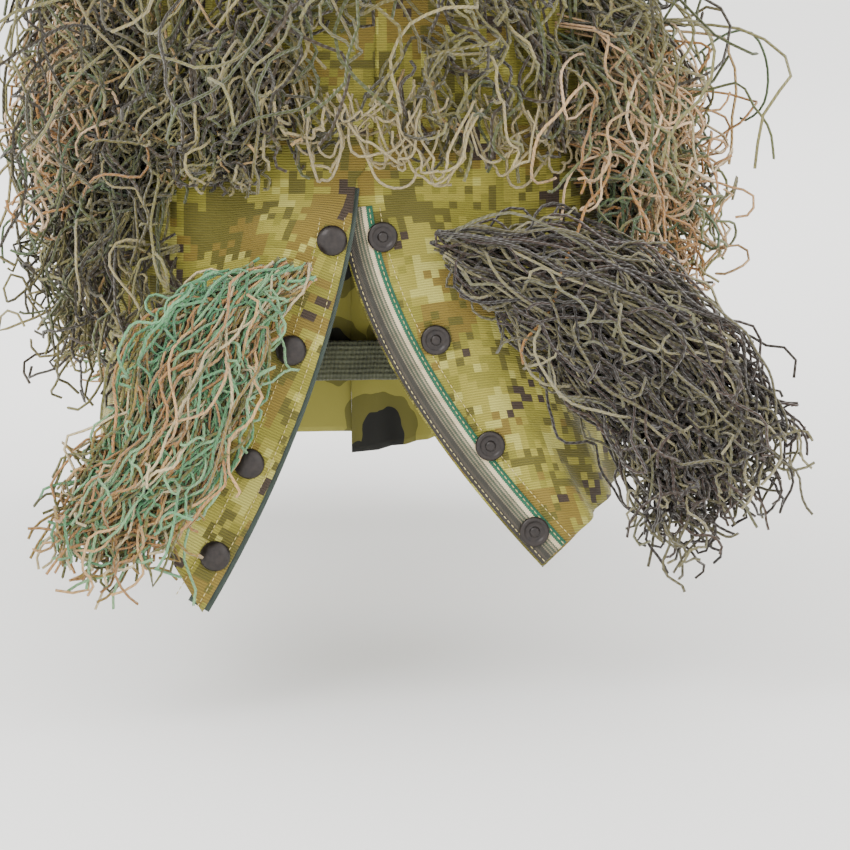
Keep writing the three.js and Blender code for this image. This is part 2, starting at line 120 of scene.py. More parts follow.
class Nodes:
    """A material's node tree, with short ways to add and join nodes."""

    def __init__(self, name):
        self.material = bpy.data.materials.new(name)
        self.material.use_nodes = True
        self.tree = self.material.node_tree
        self.shader = self.tree.nodes["Principled BSDF"]

    def add(self, kind, sockets=None, **settings):
        node = self.tree.nodes.new(kind)
        for key, value in settings.items():
            setattr(node, key, value)
        for key, value in (sockets or {}).items():
            self.feed(node.inputs[key], value)
        return node

    def feed(self, socket, value):
        if isinstance(value, bpy.types.Node):
            value = value.outputs[0]
        if isinstance(value, bpy.types.NodeSocket):
            self.tree.links.new(value, socket)
        else:
            socket.default_value = value

    def math(self, operation, *values):
        node = self.add("ShaderNodeMath", operation=operation)
        for socket, value in zip(node.inputs, values):
            self.feed(socket, value)
        return node.outputs[0]

    def scaled(self, vector, size):
        return self.add("ShaderNodeVectorMath", {0: vector, 1: size}, operation="MULTIPLY").outputs[0]

    def noise(self, vector, size, detail=2.0):
        made = self.add("ShaderNodeTexNoise", {"Vector": vector, "Scale": size, "Detail": detail})
        return made.outputs["Fac"]

    def ramp(self, value, stops, interpolation="LINEAR"):
        node = self.add("ShaderNodeValToRGB", {"Fac": value})
        node.color_ramp.interpolation = interpolation
        elements = node.color_ramp.elements
        while len(elements) < len(stops):
            elements.new(0.5)
        for element, (place, colour) in zip(elements, stops):
            element.position = place
            element.color = colour
        return node.outputs["Color"]

    def fade(self, value, low, high, most):
        """Black below low, and a grey of brightness most above high."""
        return self.ramp(value, [(low, (0, 0, 0, 1)), (high, (most, most, most, 1))])

    def grey(self, value):
        node = self.add("ShaderNodeCombineColor", {"Red": value, "Green": value, "Blue": value})
        return node.outputs[0]

    def flat_cut(self):
        """The place on the flat cut, and its two directions, in metres."""
        flat = self.add("ShaderNodeUVMap", uv_map="flat").outputs["UV"]
        split = self.add("ShaderNodeSeparateXYZ", {0: flat}).outputs
        return flat, split["X"], split["Y"]

    def ribs(self, place, pitch):
        return self.math("SINE", self.math("MULTIPLY", place, 2 * math.pi / pitch))

    def mix(self, share, first, second, blend="MIX"):
        node = self.add("ShaderNodeMix", data_type="RGBA", blend_type=blend)
        self.feed(node.inputs["Factor"], share)
        self.feed(node.inputs["A"], first)
        self.feed(node.inputs["B"], second)
        return node.outputs["Result"]

    def bump(self, height, strength, depth):
        node = self.add("ShaderNodeBump", {"Height": height, "Strength": strength, "Distance": depth})
        self.tree.links.new(node.outputs["Normal"], self.shader.inputs["Normal"])

    def set(self, **values):
        for key, value in values.items():
            self.feed(self.shader.inputs[key.replace("_", " ")], value)


RIB_PITCH, PICK_PITCH = 0.0013, 0.0009
PRINT_CELL = 0.0042


def digital_print(name):
    n = Nodes(name)
    flat, weft, warp = n.flat_cut()
    cells = n.add("ShaderNodeVectorMath", {0: n.scaled(flat, (1 / PRINT_CELL,) * 3)},
                  operation="FLOOR").outputs[0]
    big = n.add("ShaderNodeVectorMath", {0: n.scaled(flat, (0.5 / PRINT_CELL,) * 3)},
                operation="FLOOR").outputs[0]
    grain = n.math("SUBTRACT", n.add("ShaderNodeTexWhiteNoise", {"Vector": cells}).outputs["Value"], 0.5)

    def patches(squares, size, ragged, shift):
        moved = n.add("ShaderNodeVectorMath", {0: squares, 1: (shift, shift * 0.7, 0)}).outputs[0]
        field = n.noise(moved, size, 1.5)
        return n.math("ADD", field, n.math("MULTIPLY", grain, ragged))

    colour = n.ramp(patches(cells, 0.20, 0.16, 3.0), [
        (0.0, srgb(142, 136, 48)), (0.44, srgb(162, 154, 62)), (0.57, srgb(190, 184, 92))], "CONSTANT")
    gold = n.math("GREATER_THAN", patches(big, 0.22, 0.12, 87.0), 0.56)
    colour = n.mix(gold, colour, srgb(134, 114, 42))
    olive = n.math("GREATER_THAN", patches(cells, 0.15, 0.22, 41.0), 0.56)
    colour = n.mix(olive, colour, srgb(102, 96, 32))
    dark = n.math("GREATER_THAN", patches(cells, 0.15, 0.16, 133.0), 0.665)
    colour = n.mix(dark, colour, srgb(68, 54, 42))
    soil = n.noise(n.scaled(flat, (1, 1, 1)), 14.0, 4.0)
    colour = n.mix(n.fade(soil, 0.35, 0.8, 0.35), colour, srgb(92, 82, 44), "MULTIPLY")

    rib = n.ribs(warp, RIB_PITCH)
    weave = n.math("ADD", rib, n.math("MULTIPLY", n.ribs(weft, PICK_PITCH), 0.25))
    # The furrows between the ribs are painted darker in the base colour: painted shade, besides the bump.
    painted_furrow_shade = n.grey(n.math("MULTIPLY_ADD", rib, 0.17, 0.83))
    n.set(Base_Color=n.mix(1.0, colour, painted_furrow_shade, "MULTIPLY"), Roughness=0.62, Sheen_Weight=0.18,
          Sheen_Roughness=0.4, Specular_IOR_Level=0.35)
    n.bump(weave, 0.55, 0.0004)
    return n.material


def leaf_lining(name):
    n = Nodes(name)
    flat = n.add("ShaderNodeTexCoord").outputs["Object"]
    bent = n.add("ShaderNodeVectorMath", {0: flat, 1: n.scaled(
        n.add("ShaderNodeTexNoise", {"Vector": flat, "Scale": 38.0}).outputs["Color"],
        (0.02,) * 3)}).outputs[0]
    leaves = n.add("ShaderNodeTexVoronoi", {"Vector": bent, "Scale": 25.0}).outputs["Distance"]
    n.set(Base_Color=n.ramp(leaves, [(0.0, srgb(20, 20, 16)), (0.36, srgb(104, 100, 40)),
                                     (0.54, srgb(150, 144, 64))], "CONSTANT"),
          Roughness=0.8, Sheen_Weight=0.1)
    n.bump(n.noise(flat, 900.0), 0.3, 0.0004)
    return n.material


PRINTED = digital_print("printed_cloth")
LINING = leaf_lining("leaf_lining")


def mesh_object(name, points, faces, materials, flat=None, smooth=True):
    """A mesh object at the origin. flat holds one UV pair, in metres, for each point."""
    mesh = bpy.data.meshes.new(name)
    mesh.from_pydata([tuple(p) for p in points], [], faces)
    for material in materials:
        mesh.materials.append(material)
    if flat is not None:
        layer = mesh.uv_layers.new(name="flat")
        corners = np.zeros(len(mesh.loops), int)
        mesh.loops.foreach_get("vertex_index", corners)
        layer.data.foreach_set("uv", np.asarray(flat, float)[corners].ravel())
    mesh.polygons.foreach_set("use_smooth", [smooth] * len(mesh.polygons))
    return put_in_scene(name, mesh)


def grid_faces(rows, columns, start=0, flip=False):
    """The quads of a grid of points laid out row by row."""
    faces = []
    for row in range(rows - 1):
        for column in range(columns - 1):
            a = start + row * columns + column
            quad = (a, a + 1, a + columns + 1, a + columns)
            faces.append(quad[::-1] if flip else quad)
    return faces


def apply_modifiers(piece):
    """Turns a piece's modifiers into plain mesh."""
    bpy.context.view_layer.update()
    graph = bpy.context.evaluated_depsgraph_get()
    mesh = bpy.data.meshes.new_from_object(piece.evaluated_get(graph), depsgraph=graph)
    piece.modifiers.clear()
    old = piece.data
    piece.data = mesh
    bpy.data.meshes.remove(old)
    mesh.name = piece.name
    return piece


CLOTH = 0.0009


def thicken(piece, thickness=CLOTH, inner=1):
    """Gives a sheet its thickness, inwards, with its second material on the inner face."""
    solid = piece.modifiers.new("thickness", "SOLIDIFY")
    solid.thickness = thickness
    solid.offset = -1
    solid.material_offset = inner
    return apply_modifiers(piece)


# Trouser legs -----------------------------------------------------------------------------------
# Each leg is a front and a back panel of the printed cloth, joined by an outer and an inner seam.
# Below the slit each panel runs on into its flap, and the cloth turns into the flap's plane past its fold.

VENT_Y, VENT_HEIGHT, VENT_TILT, VENT_STANDOFF = -0.022, 0.270, math.radians(5.5), 0.003
CROTCH = 0.780
FRONT_LIFT = 0.011
FLAP_CLOTH = 0.0024
LEG_RINGS = np.array([            # height, x, y, half width, half depth, squareness
    (0.060, 0.192, -0.012, 0.092, 0.141, 3.0),
    (0.270, 0.180, -0.012, 0.088, 0.124, 2.6),
    (0.480, 0.158, -0.006, 0.090, 0.108, 2.2),
    (0.640, 0.130, 0.000, 0.098, 0.116, 2.1),
    (0.780, 0.106, 0.004, 0.098, 0.128, 2.0)])
HIP_RINGS = np.array([            # height, half width, half depth
    (0.740, 0.204, 0.140), (0.880, 0.204, 0.146), (1.000, 0.184, 0.128)])

# A flap's outline from the top of the slit: rearwards and up, in metres.
FLAPS = {
    -1: dict(top=(0.002, 0.0), bend=(-0.014, -0.110), corner=(-0.078, -0.214),
             fold=(-0.110, -0.158), shoulder=(-0.018, 0.0), lift=FRONT_LIFT, turn=21.0),
    1: dict(top=(-0.008, -0.002), bend=(-0.008, -0.085), corner=(0.094, -0.196),
            fold=(0.122, -0.170), shoulder=(0.028, -0.002), lift=0.0, turn=-9.0)}


def ring_at(rings, height):
    height = np.asarray(height, float)
    return [np.interp(height, rings[:, 0], rings[:, k]) for k in range(1, rings.shape[1])]


def power(value, exponent):
    return np.sign(value) * np.abs(value) ** exponent


def leg_point(height, degrees, out=0.0):
    """A point on the left leg. Angle 0 is the outer seam, -90 the shin, 180 the inner seam."""
    x, y, wide, deep, square = ring_at(LEG_RINGS, height)
    angle = np.radians(degrees)
    return np.stack([x + (wide + out) * power(np.cos(angle), 2 / square),
                     y + (deep + out) * power(np.sin(angle), 2 / square),
                     np.asarray(height) - WAIST + 0 * angle], -1)


def smoothstep(value, low, high):
    share = np.clip((np.asarray(value, float) - low) / (high - low), 0, 1)
    return share * share * (3 - 2 * share)


vent_ring = ring_at(LEG_RINGS, VENT_HEIGHT)
VENT_TOP = np.array([vent_ring[0] + vent_ring[2] + VENT_STANDOFF, VENT_Y, VENT_HEIGHT - WAIST])
VENT_OUT = np.array([math.cos(VENT_TILT), 0, math.sin(VENT_TILT)])
VENT_UP = np.array([-math.sin(VENT_TILT), 0, math.cos(VENT_TILT)])


def on_vent(y, z, lift=0.0):
    """A point in the left vent's plane, from the top of the slit."""
    y, z, lift = np.broadcast_arrays(np.asarray(y, float), z, lift)
    return VENT_TOP + y[..., None] * np.array([0, 1, 0]) + z[..., None] * VENT_UP + lift[..., None] * VENT_OUT


def free_edge(flap, t):
    """The flap's free edge, from the top of the slit down to its corner."""
    top, bend, corner = (np.array(flap[key]) for key in ("top", "bend", "corner"))
    t = np.asarray(t, float)[..., None]
    return (1 - t) ** 2 * top + 2 * t * (1 - t) * bend + t ** 2 * corner


def past_fold(flap, y, z):
    """How far a point lies from the flap's fold, towards its free edge."""
    start, end = np.array(flap["shoulder"]), np.array(flap["fold"])
    along = (end - start) / np.linalg.norm(end - start)
    across = np.array([-along[1], along[0]])
    if across @ (np.array(flap["corner"]) - start) < 0:
        across = -across
    return (y - start[0]) * across[0] + (z - start[1]) * across[1]


def wavy(points, size, seed=0.0):
    """Smooth noise from -1 to 1 at each point. size is the length of one wave along each axis."""
    scaled = points / np.asarray(size, float) + seed
    return np.array([noise.noise(Vector(p)) for p in scaled.reshape(-1, 3)]).reshape(points.shape[:-1]) * 1.6


def angle_at(height, y):
    """The angle on a leg's ring where its outer side crosses a given y."""
    _, centre, _, deep, square = ring_at(LEG_RINGS, height)
    share = np.clip((y - centre) / deep, -1, 1)
    return np.degrees(np.arcsin(power(share, square / 2)))


def onto_flap(flap, points, out=0.0):
    """Draws points on the left leg's surface over to the flap's plane, past its fold."""
    y, z = points[..., 1] - VENT_Y, points[..., 2] - VENT_TOP[2]
    share = smoothstep(past_fold(flap, y, z), -0.034, 0.020) * smoothstep(-z, 0.0, 0.028)
    share = share * (points[..., 0] > 0.15)
    plane = on_vent(y, z, flap["lift"] + out)
    return points + (plane - points) * share[..., None], share


def flap_point(flap, y, z, out=0.0):
    """A point on a flap, y and z from the top of the slit, standing out from its cloth."""
    height = VENT_HEIGHT + np.asarray(z, float)
    points = leg_point(height, angle_at(height, VENT_Y + np.asarray(y, float)), out)
    return onto_flap(flap, points, out)[0]


def grid_normals(points):
    down = np.gradient(points, axis=0)
    across = np.gradient(points, axis=1)
    normals = np.cross(across, down)
    return normals / np.maximum(np.linalg.norm(normals, axis=-1, keepdims=True), 1e-9)


LOW_ROWS, HIGH_ROWS, PANEL_COLUMNS, FLAP_COLUMNS = 46, 70, 64, 22


def leg_cloth(face):
    """One panel of the left leg with its flap: a grid of points and its flat cut."""
    flap = FLAPS[face]
    shoulder, fold = np.array(flap["shoulder"]), np.array(flap["fold"])
    t = np.linspace(1, 0, LOW_ROWS)[:, None]
    creased = shoulder + (fold - shoulder) * t

    v = np.linspace(0, 1, PANEL_COLUMNS)[None]
    hem = VENT_HEIGHT + fold[1] + (0.030 if face > 0 else 0) * np.sin(np.pi * v)
    low = hem + (VENT_HEIGHT - hem) * (1 - t)
    ends = angle_at(VENT_HEIGHT + creased[:, 1:], VENT_Y + creased[:, :1])
    panel_low = leg_point(low, face * (180 + (face * ends - 180) * v))

    s = np.linspace(0, 1, FLAP_COLUMNS + 1)[None, 1:, None]
    spread = creased[:, None] + (free_edge(flap, t[:, 0])[:, None] - creased[:, None]) * s
    height = VENT_HEIGHT + spread[..., 1]
    flap_low = leg_point(height, angle_at(height, VENT_Y + spread[..., 0]))

    high = np.linspace(VENT_HEIGHT, WAIST - 0.016, HIGH_ROWS + 1)[1:, None]
    split = 1 - np.abs(angle_at(VENT_HEIGHT, VENT_Y + shoulder[0])) / 180
    v_high = np.concatenate([v[0] * split, split + (1 - split) * s[0, :, 0]])[None]
    leg = leg_point(high, face * (180 - 180 * v_high))
    wide, deep = ring_at(HIP_RINGS, high)
    hip_turn = np.radians(face * (90 - 90 * v_high))
    hip = np.stack([wide * np.cos(hip_turn), deep * np.sin(hip_turn), leg[..., 2]], -1)
    leg += (hip - leg) * smoothstep(high, CROTCH - 0.030, CROTCH + 0.090)[..., None]

    points = np.vstack([np.concatenate([panel_low, flap_low], 1), leg])
    arc = np.concatenate([np.zeros((len(points), 1)),
                          np.cumsum(np.linalg.norm(np.diff(points, axis=1), axis=2), 1)], 1)
    arc -= arc[:, PANEL_COLUMNS - 1:PANEL_COLUMNS]
    start = np.concatenate([creased[:, :1], np.full((HIGH_ROWS, 1), shoulder[0])])
    flat = np.stack([start - face * arc, points[..., 2] - VENT_TOP[2]], -1)
    points, share = onto_flap(flap, points)
    turn = np.radians(flap["turn"]) * share
    flat = np.stack([flat[..., 0] * np.cos(turn) - flat[..., 1] * np.sin(turn) + 1.3 * face,
                     flat[..., 0] * np.sin(turn) + flat[..., 1] * np.cos(turn)], -1)

    # Creases: long soft folds on the leg, small ones at the gathered hem, and creases on the
    # flap that run along its free edge and die away before the snaps and tapes.
    normals = grid_normals(points) * -face
    y, z = points[..., 1] - VENT_Y, points[..., 2] - VENT_TOP[2]
    middle = free_edge(flap, np.clip(-z / 0.2, 0, 1))
    inside = np.abs(y - middle[..., 0])
    calm = smoothstep(inside, 0.014, 0.045) * (share > 0) + (share == 0)
    large = 0.0035 * wavy(points, (0.07, 0.07, 0.19), 4.1 * face) * (1 - share)
    small = 0.0013 * wavy(points, (0.020, 0.020, 0.07), 9.7 * face) * smoothstep(calm, 0, 1)
    edge_wave = np.stack([inside * 60 + 3, z * 9, 0 * z], -1)
    folds = 0.0022 * wavy(edge_wave, 1.0, 2.3 * face) * share * calm
    above_hem = points[..., 2] + WAIST - (VENT_HEIGHT + fold[1])
    gather = np.exp(-(np.maximum(above_hem - 0.018, 0) / 0.030) ** 2) * (1 - share * 0.75) * (face > 0)
    pleats = np.sin(arc / 0.011 * 2 * math.pi / 1.6 + 3 * wavy(points, 0.05, 1.7)) * 0.0032 * gather * calm
    points = points + normals * (large + small + folds + pleats)[..., None]
    return points, flat


def mirrored(points, side):
    return points * np.array([side, 1, 1])


SIDES = ((1, "left"), (-1, "right"))
BEND_LENGTH = 0.080          # a length across a flap's fold; the loop below finds a leg point half of it before the fold's middle

for side, label in SIDES:
    for face, half, swing in ((-1, "front", "front_vent"), (1, "back", "rear_vent")):
        points, flat = leg_cloth(face)
        points = mirrored(points, side)
        faces = grid_faces(*points.shape[:2], flip=(side * face > 0))
        piece = mesh_object(f"{label}_{half}_cloth", points.reshape(-1, 3), faces,
                            [PRINTED, LINING], flat.reshape(-1, 2) + (0.37 * side, 0))
        thicken(piece)
        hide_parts(f"{label}_{half}_panel", f"{label}_{'front' if face < 0 else 'rear'}_flap")
        flap = FLAPS[face]
        fold_middle = (np.array(flap["shoulder"]) + np.array(flap["fold"])) / 2
        crease = np.array(flap["fold"]) - np.array(flap["shoulder"])
        across = np.array([-crease[1], crease[0]]) / np.linalg.norm(crease)
        if past_fold(flap, *(fold_middle + across)) < past_fold(flap, *fold_middle):
            across = -across
        begin_y, begin_z = fold_middle - BEND_LENGTH / 2 * across
        height = VENT_HEIGHT + begin_z
        begin = leg_point(height, angle_at(height, VENT_Y + begin_y))
        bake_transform(piece)


# Linings, hem elastics and waistband ------------------------------------------------------------
# A thin dark camouflage lining hangs loose inside each leg. A band of elastic gathers the hem
# round the shin and the calf, and a wide knitted elastic holds the trousers up at the waist.

CORD_PITCH = 0.0026
HEM_RUFFLES, WAIST_GATHERS, TAPE_PUCKERS = 46, 60, 34


def knitted_elastic(name, colour, pitch):
    n = Nodes(name)
    flat, along, across = n.flat_cut()
    rib, cord = n.ribs(along, pitch), n.ribs(across, CORD_PITCH)
    worn = n.noise(n.scaled(flat, (1, 1, 1)), 60.0, 3.0)
    # The furrows between the ribs are painted darker here: painted shade, mixed with the elastic's own worn
    # mottle.
    n.set(Base_Color=n.ramp(n.math("ADD", n.math("MULTIPLY", rib, 0.12), worn), [
        (0.25, tuple(0.55 * c for c in colour[:3]) + (1,)), (0.75, colour)]),
        Roughness=0.8, Sheen_Weight=0.2)
    n.bump(n.math("ADD", rib, cord), 0.6, 0.0006)
    return n.material


ELASTIC = knitted_elastic("knitted_elastic", srgb(92, 96, 74), 0.0022)
WAIST_ELASTIC = knitted_elastic("waist_elastic", srgb(88, 88, 58), 0.0045)


def band(name, surface, rows, columns, materials, thickness, flip=False, closed=False, cut=None,
         lay_flat=None):
    """A sheet from surface(u, v), both 0 to 1, thickened inwards, with its flat cut as UV in metres.

    cut picks the faces to take away, from their middles. lay_flat gives the flat cut from the
    sheet's points, where it isn't simply the lengths along its rows and columns.
    """
    u, v = np.meshgrid(np.linspace(0, 1, rows), np.linspace(0, 1, columns), indexing="ij")
    points = surface(u, v)
    across = np.concatenate([np.zeros((rows, 1)),
                             np.cumsum(np.linalg.norm(np.diff(points, axis=1), axis=2), 1)], 1)
    down = np.concatenate([np.zeros((1, columns)),
                           np.cumsum(np.linalg.norm(np.diff(points, axis=0), axis=2), 0)], 0)
    flat = lay_flat(points) if lay_flat else np.stack([across, down], -1)
    made = mesh_object(name, points.reshape(-1, 3), grid_faces(rows, columns, flip=flip),
                       materials, flat.reshape(-1, 2))
    if closed:
        weld = made.modifiers.new("seam", "WELD")
        weld.merge_threshold = 0.0001
    if cut:
        work = bmesh.new()
        work.from_mesh(made.data)
        gone = cut(np.array([f.calc_center_median() for f in work.faces]))
        faces = [f for f, hidden in zip(work.faces, gone) if hidden]
        bmesh.ops.delete(work, geom=faces, context="FACES")
        work.to_mesh(made.data)
        work.free()
    return thicken(made, thickness, len(materials) - 1)


for side, label in SIDES:
    def lining_surface(u, v):
        points = leg_point(VENT_HEIGHT + 0.014 + 0.436 * u, 360 * v, -0.0054)
        points = points + grid_normals(points) * (0.0016 * wavy(points, (0.04, 0.04, 0.10)))[..., None]
        return mirrored(points, side)

    piece = band(f"{label}_lining", lining_surface, 48, 81, [LINING], 0.0007, flip=side < 0, closed=True)
    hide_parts(f"{label}_leg_lining")
    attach(piece, "root")

    def elastic_surface(u, v):
        ruffle = 0.0007 * np.sin(v * 2 * math.pi * HEM_RUFFLES)
        return mirrored(leg_point(0.142 + 0.022 * u, -84 - 186 * v, -0.0064 + ruffle), side)

    piece = band(f"{label}_hem_band", elastic_surface, 7, 300, [ELASTIC], 0.0014, flip=side > 0)
    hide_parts(f"{label}_hem_elastic")
    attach(piece, "root")


def waist_surface(u, v):
    height = WAIST - 0.015 + 0.040 * u
    wide, deep = ring_at(HIP_RINGS, np.minimum(height, WAIST))
    angle = 2 * math.pi * v
    gathered = 0.0008 + 0.0011 * np.sin(v * 2 * math.pi * WAIST_GATHERS) * np.sin(math.pi * u)
    return np.stack([(wide + gathered) * np.cos(angle), (deep + gathered) * np.sin(angle),
                     height - WAIST], -1)


piece = band("waist_band", waist_surface, 9, 361, [WAIST_ELASTIC], 0.0035, closed=True)
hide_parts("waistband")
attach(piece, "root")


# Tapes on the vents -----------------------------------------------------------------------------
# A striped woven tape faces the rear flap's free edge, under its studs, and a narrow dark tape
# binds the front flap's edge from behind. Both are sewn down with rows of lockstitch.

TAPE_WIDTH, TWILL_PITCH = 0.0163, 0.0011
TAPE_STRIPES = [(0.0, (46, 42, 38)), (0.16, (66, 60, 50)), (0.22, (48, 46, 38)), (0.36, (112, 104, 84)),
                (0.40, (58, 66, 50)), (0.46, (126, 116, 94)), (0.50, (66, 76, 58)), (0.57, (146, 134, 110)),
                (0.62, (78, 88, 70)), (0.67, (206, 190, 156)), (0.80, (12, 88, 62))]


def woven_tape(name, stripes):
    n = Nodes(name)
    flat, length, width = n.flat_cut()
    across = n.math("DIVIDE", width, TAPE_WIDTH)
    twill = n.ribs(n.math("ADD", length, width), TWILL_PITCH)
    jitter = n.math("MULTIPLY", twill, 0.012)
    colour = n.ramp(n.math("ADD", across, jitter), [(p, srgb(*c)) for p, c in stripes], "CONSTANT")
    dirt = n.noise(n.scaled(flat, (1, 1, 1)), 120.0, 3.0)
    n.set(Base_Color=n.mix(n.fade(dirt, 0.4, 0.8, 0.5), colour, srgb(150, 140, 112), "MULTIPLY"),
          Roughness=0.7, Sheen_Weight=0.15)
    n.bump(twill, 0.5, 0.0003)
    return n.material


FACING = woven_tape("striped_facing", TAPE_STRIPES)
BINDING = woven_tape("dark_binding", [(0.0, (44, 58, 50)), (0.5, (52, 66, 58))])


STITCH_SHARE = 0.82          # a thread's length over the stitch's pitch, so that gaps show


def unit(vectors):
    return vectors / np.maximum(np.linalg.norm(vectors, axis=-1, keepdims=True), 1e-9)


def edge_line(flap, t, inset):
    """Points at a distance inside a flap's free edge, as y and z from the top of the slit."""
    line = free_edge(flap, t)
    slope = unit(np.gradient(free_edge(flap, t), t, axis=0))
    inwards = np.stack([-slope[:, 1], slope[:, 0]], -1)
    inwards *= np.sign(inwards[:, :1] * (flap["fold"][0] - flap["corner"][0] * 0.5))
    return line + inwards * np.asarray(inset)[..., None]


def edge_tape(name, side, face, begin, end, inset, width, out, thickness, material):
    flap = FLAPS[face]

    def surface(u, v):
        t = begin + (end - begin) * v[0]
        rows = [edge_line(flap, t, np.full(len(t), inset + width * share)) for share in u[:, 0]]
        line = np.array(rows)
        puckered = out + 0.00025 * np.sin(v * 2 * math.pi * TAPE_PUCKERS) * np.sin(math.pi * u)
        return mirrored(flap_point(flap, line[..., 0], line[..., 1], puckered), side)

    return band(name, surface, 9, 140, [material], thickness, flip=(side * face < 0))


THREAD = Nodes("sewing_thread")
THREAD.set(Base_Color=THREAD.ramp(THREAD.noise(THREAD.add("ShaderNodeTexCoord").outputs["Object"], 300.0), [
    (0.3, srgb(168, 152, 92)), (0.7, srgb(204, 190, 128))]), Roughness=0.6, Sheen_Weight=0.2)
THREAD = THREAD.material


class Steps(Nodes):
    """A geometry node group that turns lines into plain mesh, with its inputs and its material."""

    def __init__(self, name, inputs):
        self.tree = bpy.data.node_groups.new(name, "GeometryNodeTree")
        face = self.tree.interface
        face.new_socket("Lines", in_out="INPUT", socket_type="NodeSocketGeometry")
        self.keys = [face.new_socket(key, in_out="INPUT", socket_type=kind).identifier
                     for key, kind in inputs.items()]
        face.new_socket("Made", in_out="OUTPUT", socket_type="NodeSocketGeometry")
        self.given = self.add("NodeGroupInput").outputs
        self.curves = self.add("GeometryNodeMeshToCurve", {0: self.given["Lines"]})

    def finish(self, made):
        paint = self.add("GeometryNodeSetMaterial", {0: made, "Material": self.given["Finish"]})
        self.add("NodeGroupOutput", {0: paint})
        return self

    def run(self, piece, *values):
        """Runs the steps on a piece, with a value for each input in turn."""
        modifier = piece.modifiers.new("steps", "NODES")
        modifier.node_group = self.tree
        for key, value in zip(self.keys, values):
            modifier[key] = value
        return apply_modifiers(piece)


def stitch_steps():
    """Lays one short thread after another along a line, a stitch's pitch apart."""
    s = Steps("lockstitch", {"Pitch": "NodeSocketFloat", "Thread": "NodeSocketFloat",
                             "Finish": "NodeSocketMaterial"})
    pitch, thread = s.given["Pitch"], s.given["Thread"]
    spaced = s.add("GeometryNodeResampleCurve", mode="LENGTH")
    s.feed(spaced.inputs["Curve"], s.curves)
    s.feed(spaced.inputs["Length"], pitch)
    align = s.add("FunctionNodeAlignRotationToVector", {"Vector": s.add("GeometryNodeInputTangent")},
                  axis="Z")
    bead = s.add("GeometryNodeMeshIcoSphere", {"Radius": 0.5, "Subdivisions": 1})
    size = s.add("ShaderNodeCombineXYZ", {"X": thread, "Y": thread,
                                          "Z": s.math("MULTIPLY", pitch, STITCH_SHARE)})
    place = s.add("GeometryNodeInstanceOnPoints",
                  {"Points": spaced, "Instance": bead, "Rotation": align, "Scale": size})
    real = s.add("GeometryNodeRealizeInstances", {0: place})
    return s.finish(s.add("GeometryNodeSetShadeSmooth", {0: real}))


LOCKSTITCH = stitch_steps()


def stitch(name, lines, body, pitch=0.0029, thread=0.00055):
    """Rows of lockstitch along lines of points, as one piece on one body."""
    points = np.concatenate(lines)
    edges, start = [], 0
    for line in lines:
        edges += [(start + k, start + k + 1) for k in range(len(line) - 1)]
        start += len(line)
    mesh = bpy.data.meshes.new(name)
    mesh.from_pydata([tuple(p) for p in points], edges, [])
    made = LOCKSTITCH.run(put_in_scene(name, mesh), pitch, thread, THREAD)
    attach(made, body)
    return made


for side, label in SIDES:
    piece = edge_tape(f"{label}_striped_facing", side, 1, 0.075, 0.995, 0.0008, TAPE_WIDTH, 0.0007,
                      0.0006, FACING)
    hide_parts(f"{label}_rear_flap_facing")
    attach(piece, f"{label}_rear_vent")
    piece = edge_tape(f"{label}_dark_binding", side, -1, 0.02, 0.995, -0.0021, 0.012, -0.0014,
                      0.0006, BINDING)
    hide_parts(f"{label}_front_flap_binding")
    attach(piece, f"{label}_front_vent")

    def stitch_line(face, inset, out, begin=0.09, end=0.99):
        t = np.linspace(begin, end, 150)
        line = edge_line(FLAPS[face], t, np.full(150, inset))
        return mirrored(flap_point(FLAPS[face], line[:, 0], line[:, 1], out), side)

    piece = stitch(f"{label}_rear_stitches", [
        stitch_line(1, 0.0024, 0.0009), stitch_line(1, TAPE_WIDTH - 0.0008, 0.0009),
        stitch_line(1, TAPE_WIDTH + 0.0045, 0.0003)], f"{label}_rear_vent")
    piece = stitch(f"{label}_front_stitches", [
        stitch_line(-1, 0.0035, 0.0003), stitch_line(-1, 0.0155, 0.0003)], f"{label}_front_vent")


# Snap fasteners ---------------------------------------------------------------------------------
# Four pressed brass snaps close each vent: domed caps with their sockets on the front flap, and
# rimmed studs on the rear flap. All are lacquered dark brown and worn bare along the rims.

CAP_TURN, STUD_TURN = math.radians(21.0), math.radians(26.8)
SNAP_DISTANCES = (0.032, 0.090, 0.150, 0.199)
CAP_PROFILE = [(0.0, 3.45), (2.4, 3.3), (4.4, 2.85), (5.9, 2.2), (6.9, 1.5), (7.4, 0.9), (7.6, 0.55),
               (7.4, 0.3), (6.6, 0.25), (2.3, 0.25), (2.3, -4.0), (0.0, -4.0)]
SOCKET_PROFILE = [(2.7, 0.0), (6.2, 0.0), (6.4, 0.3), (6.4, 0.7), (6.0, 1.0), (4.8, 1.2), (4.4, 1.6),
                  (4.3, 2.3), (4.0, 2.6), (3.4, 2.6), (3.0, 2.4), (2.7, 1.9), (2.7, 0.0)]
STUD_PROFILE = [(0.0, 3.35), (1.5, 3.3), (2.3, 3.0), (2.7, 2.5), (2.6, 1.9), (2.4, 1.3), (3.0, 1.05),
                (4.4, 1.1), (5.1, 1.5), (5.9, 2.0), (6.7, 1.95), (7.3, 1.5), (7.6, 0.95), (7.4, 0.45),
                (6.6, 0.3), (2.3, 0.3), (2.3, -3.0), (0.0, -3.0)]


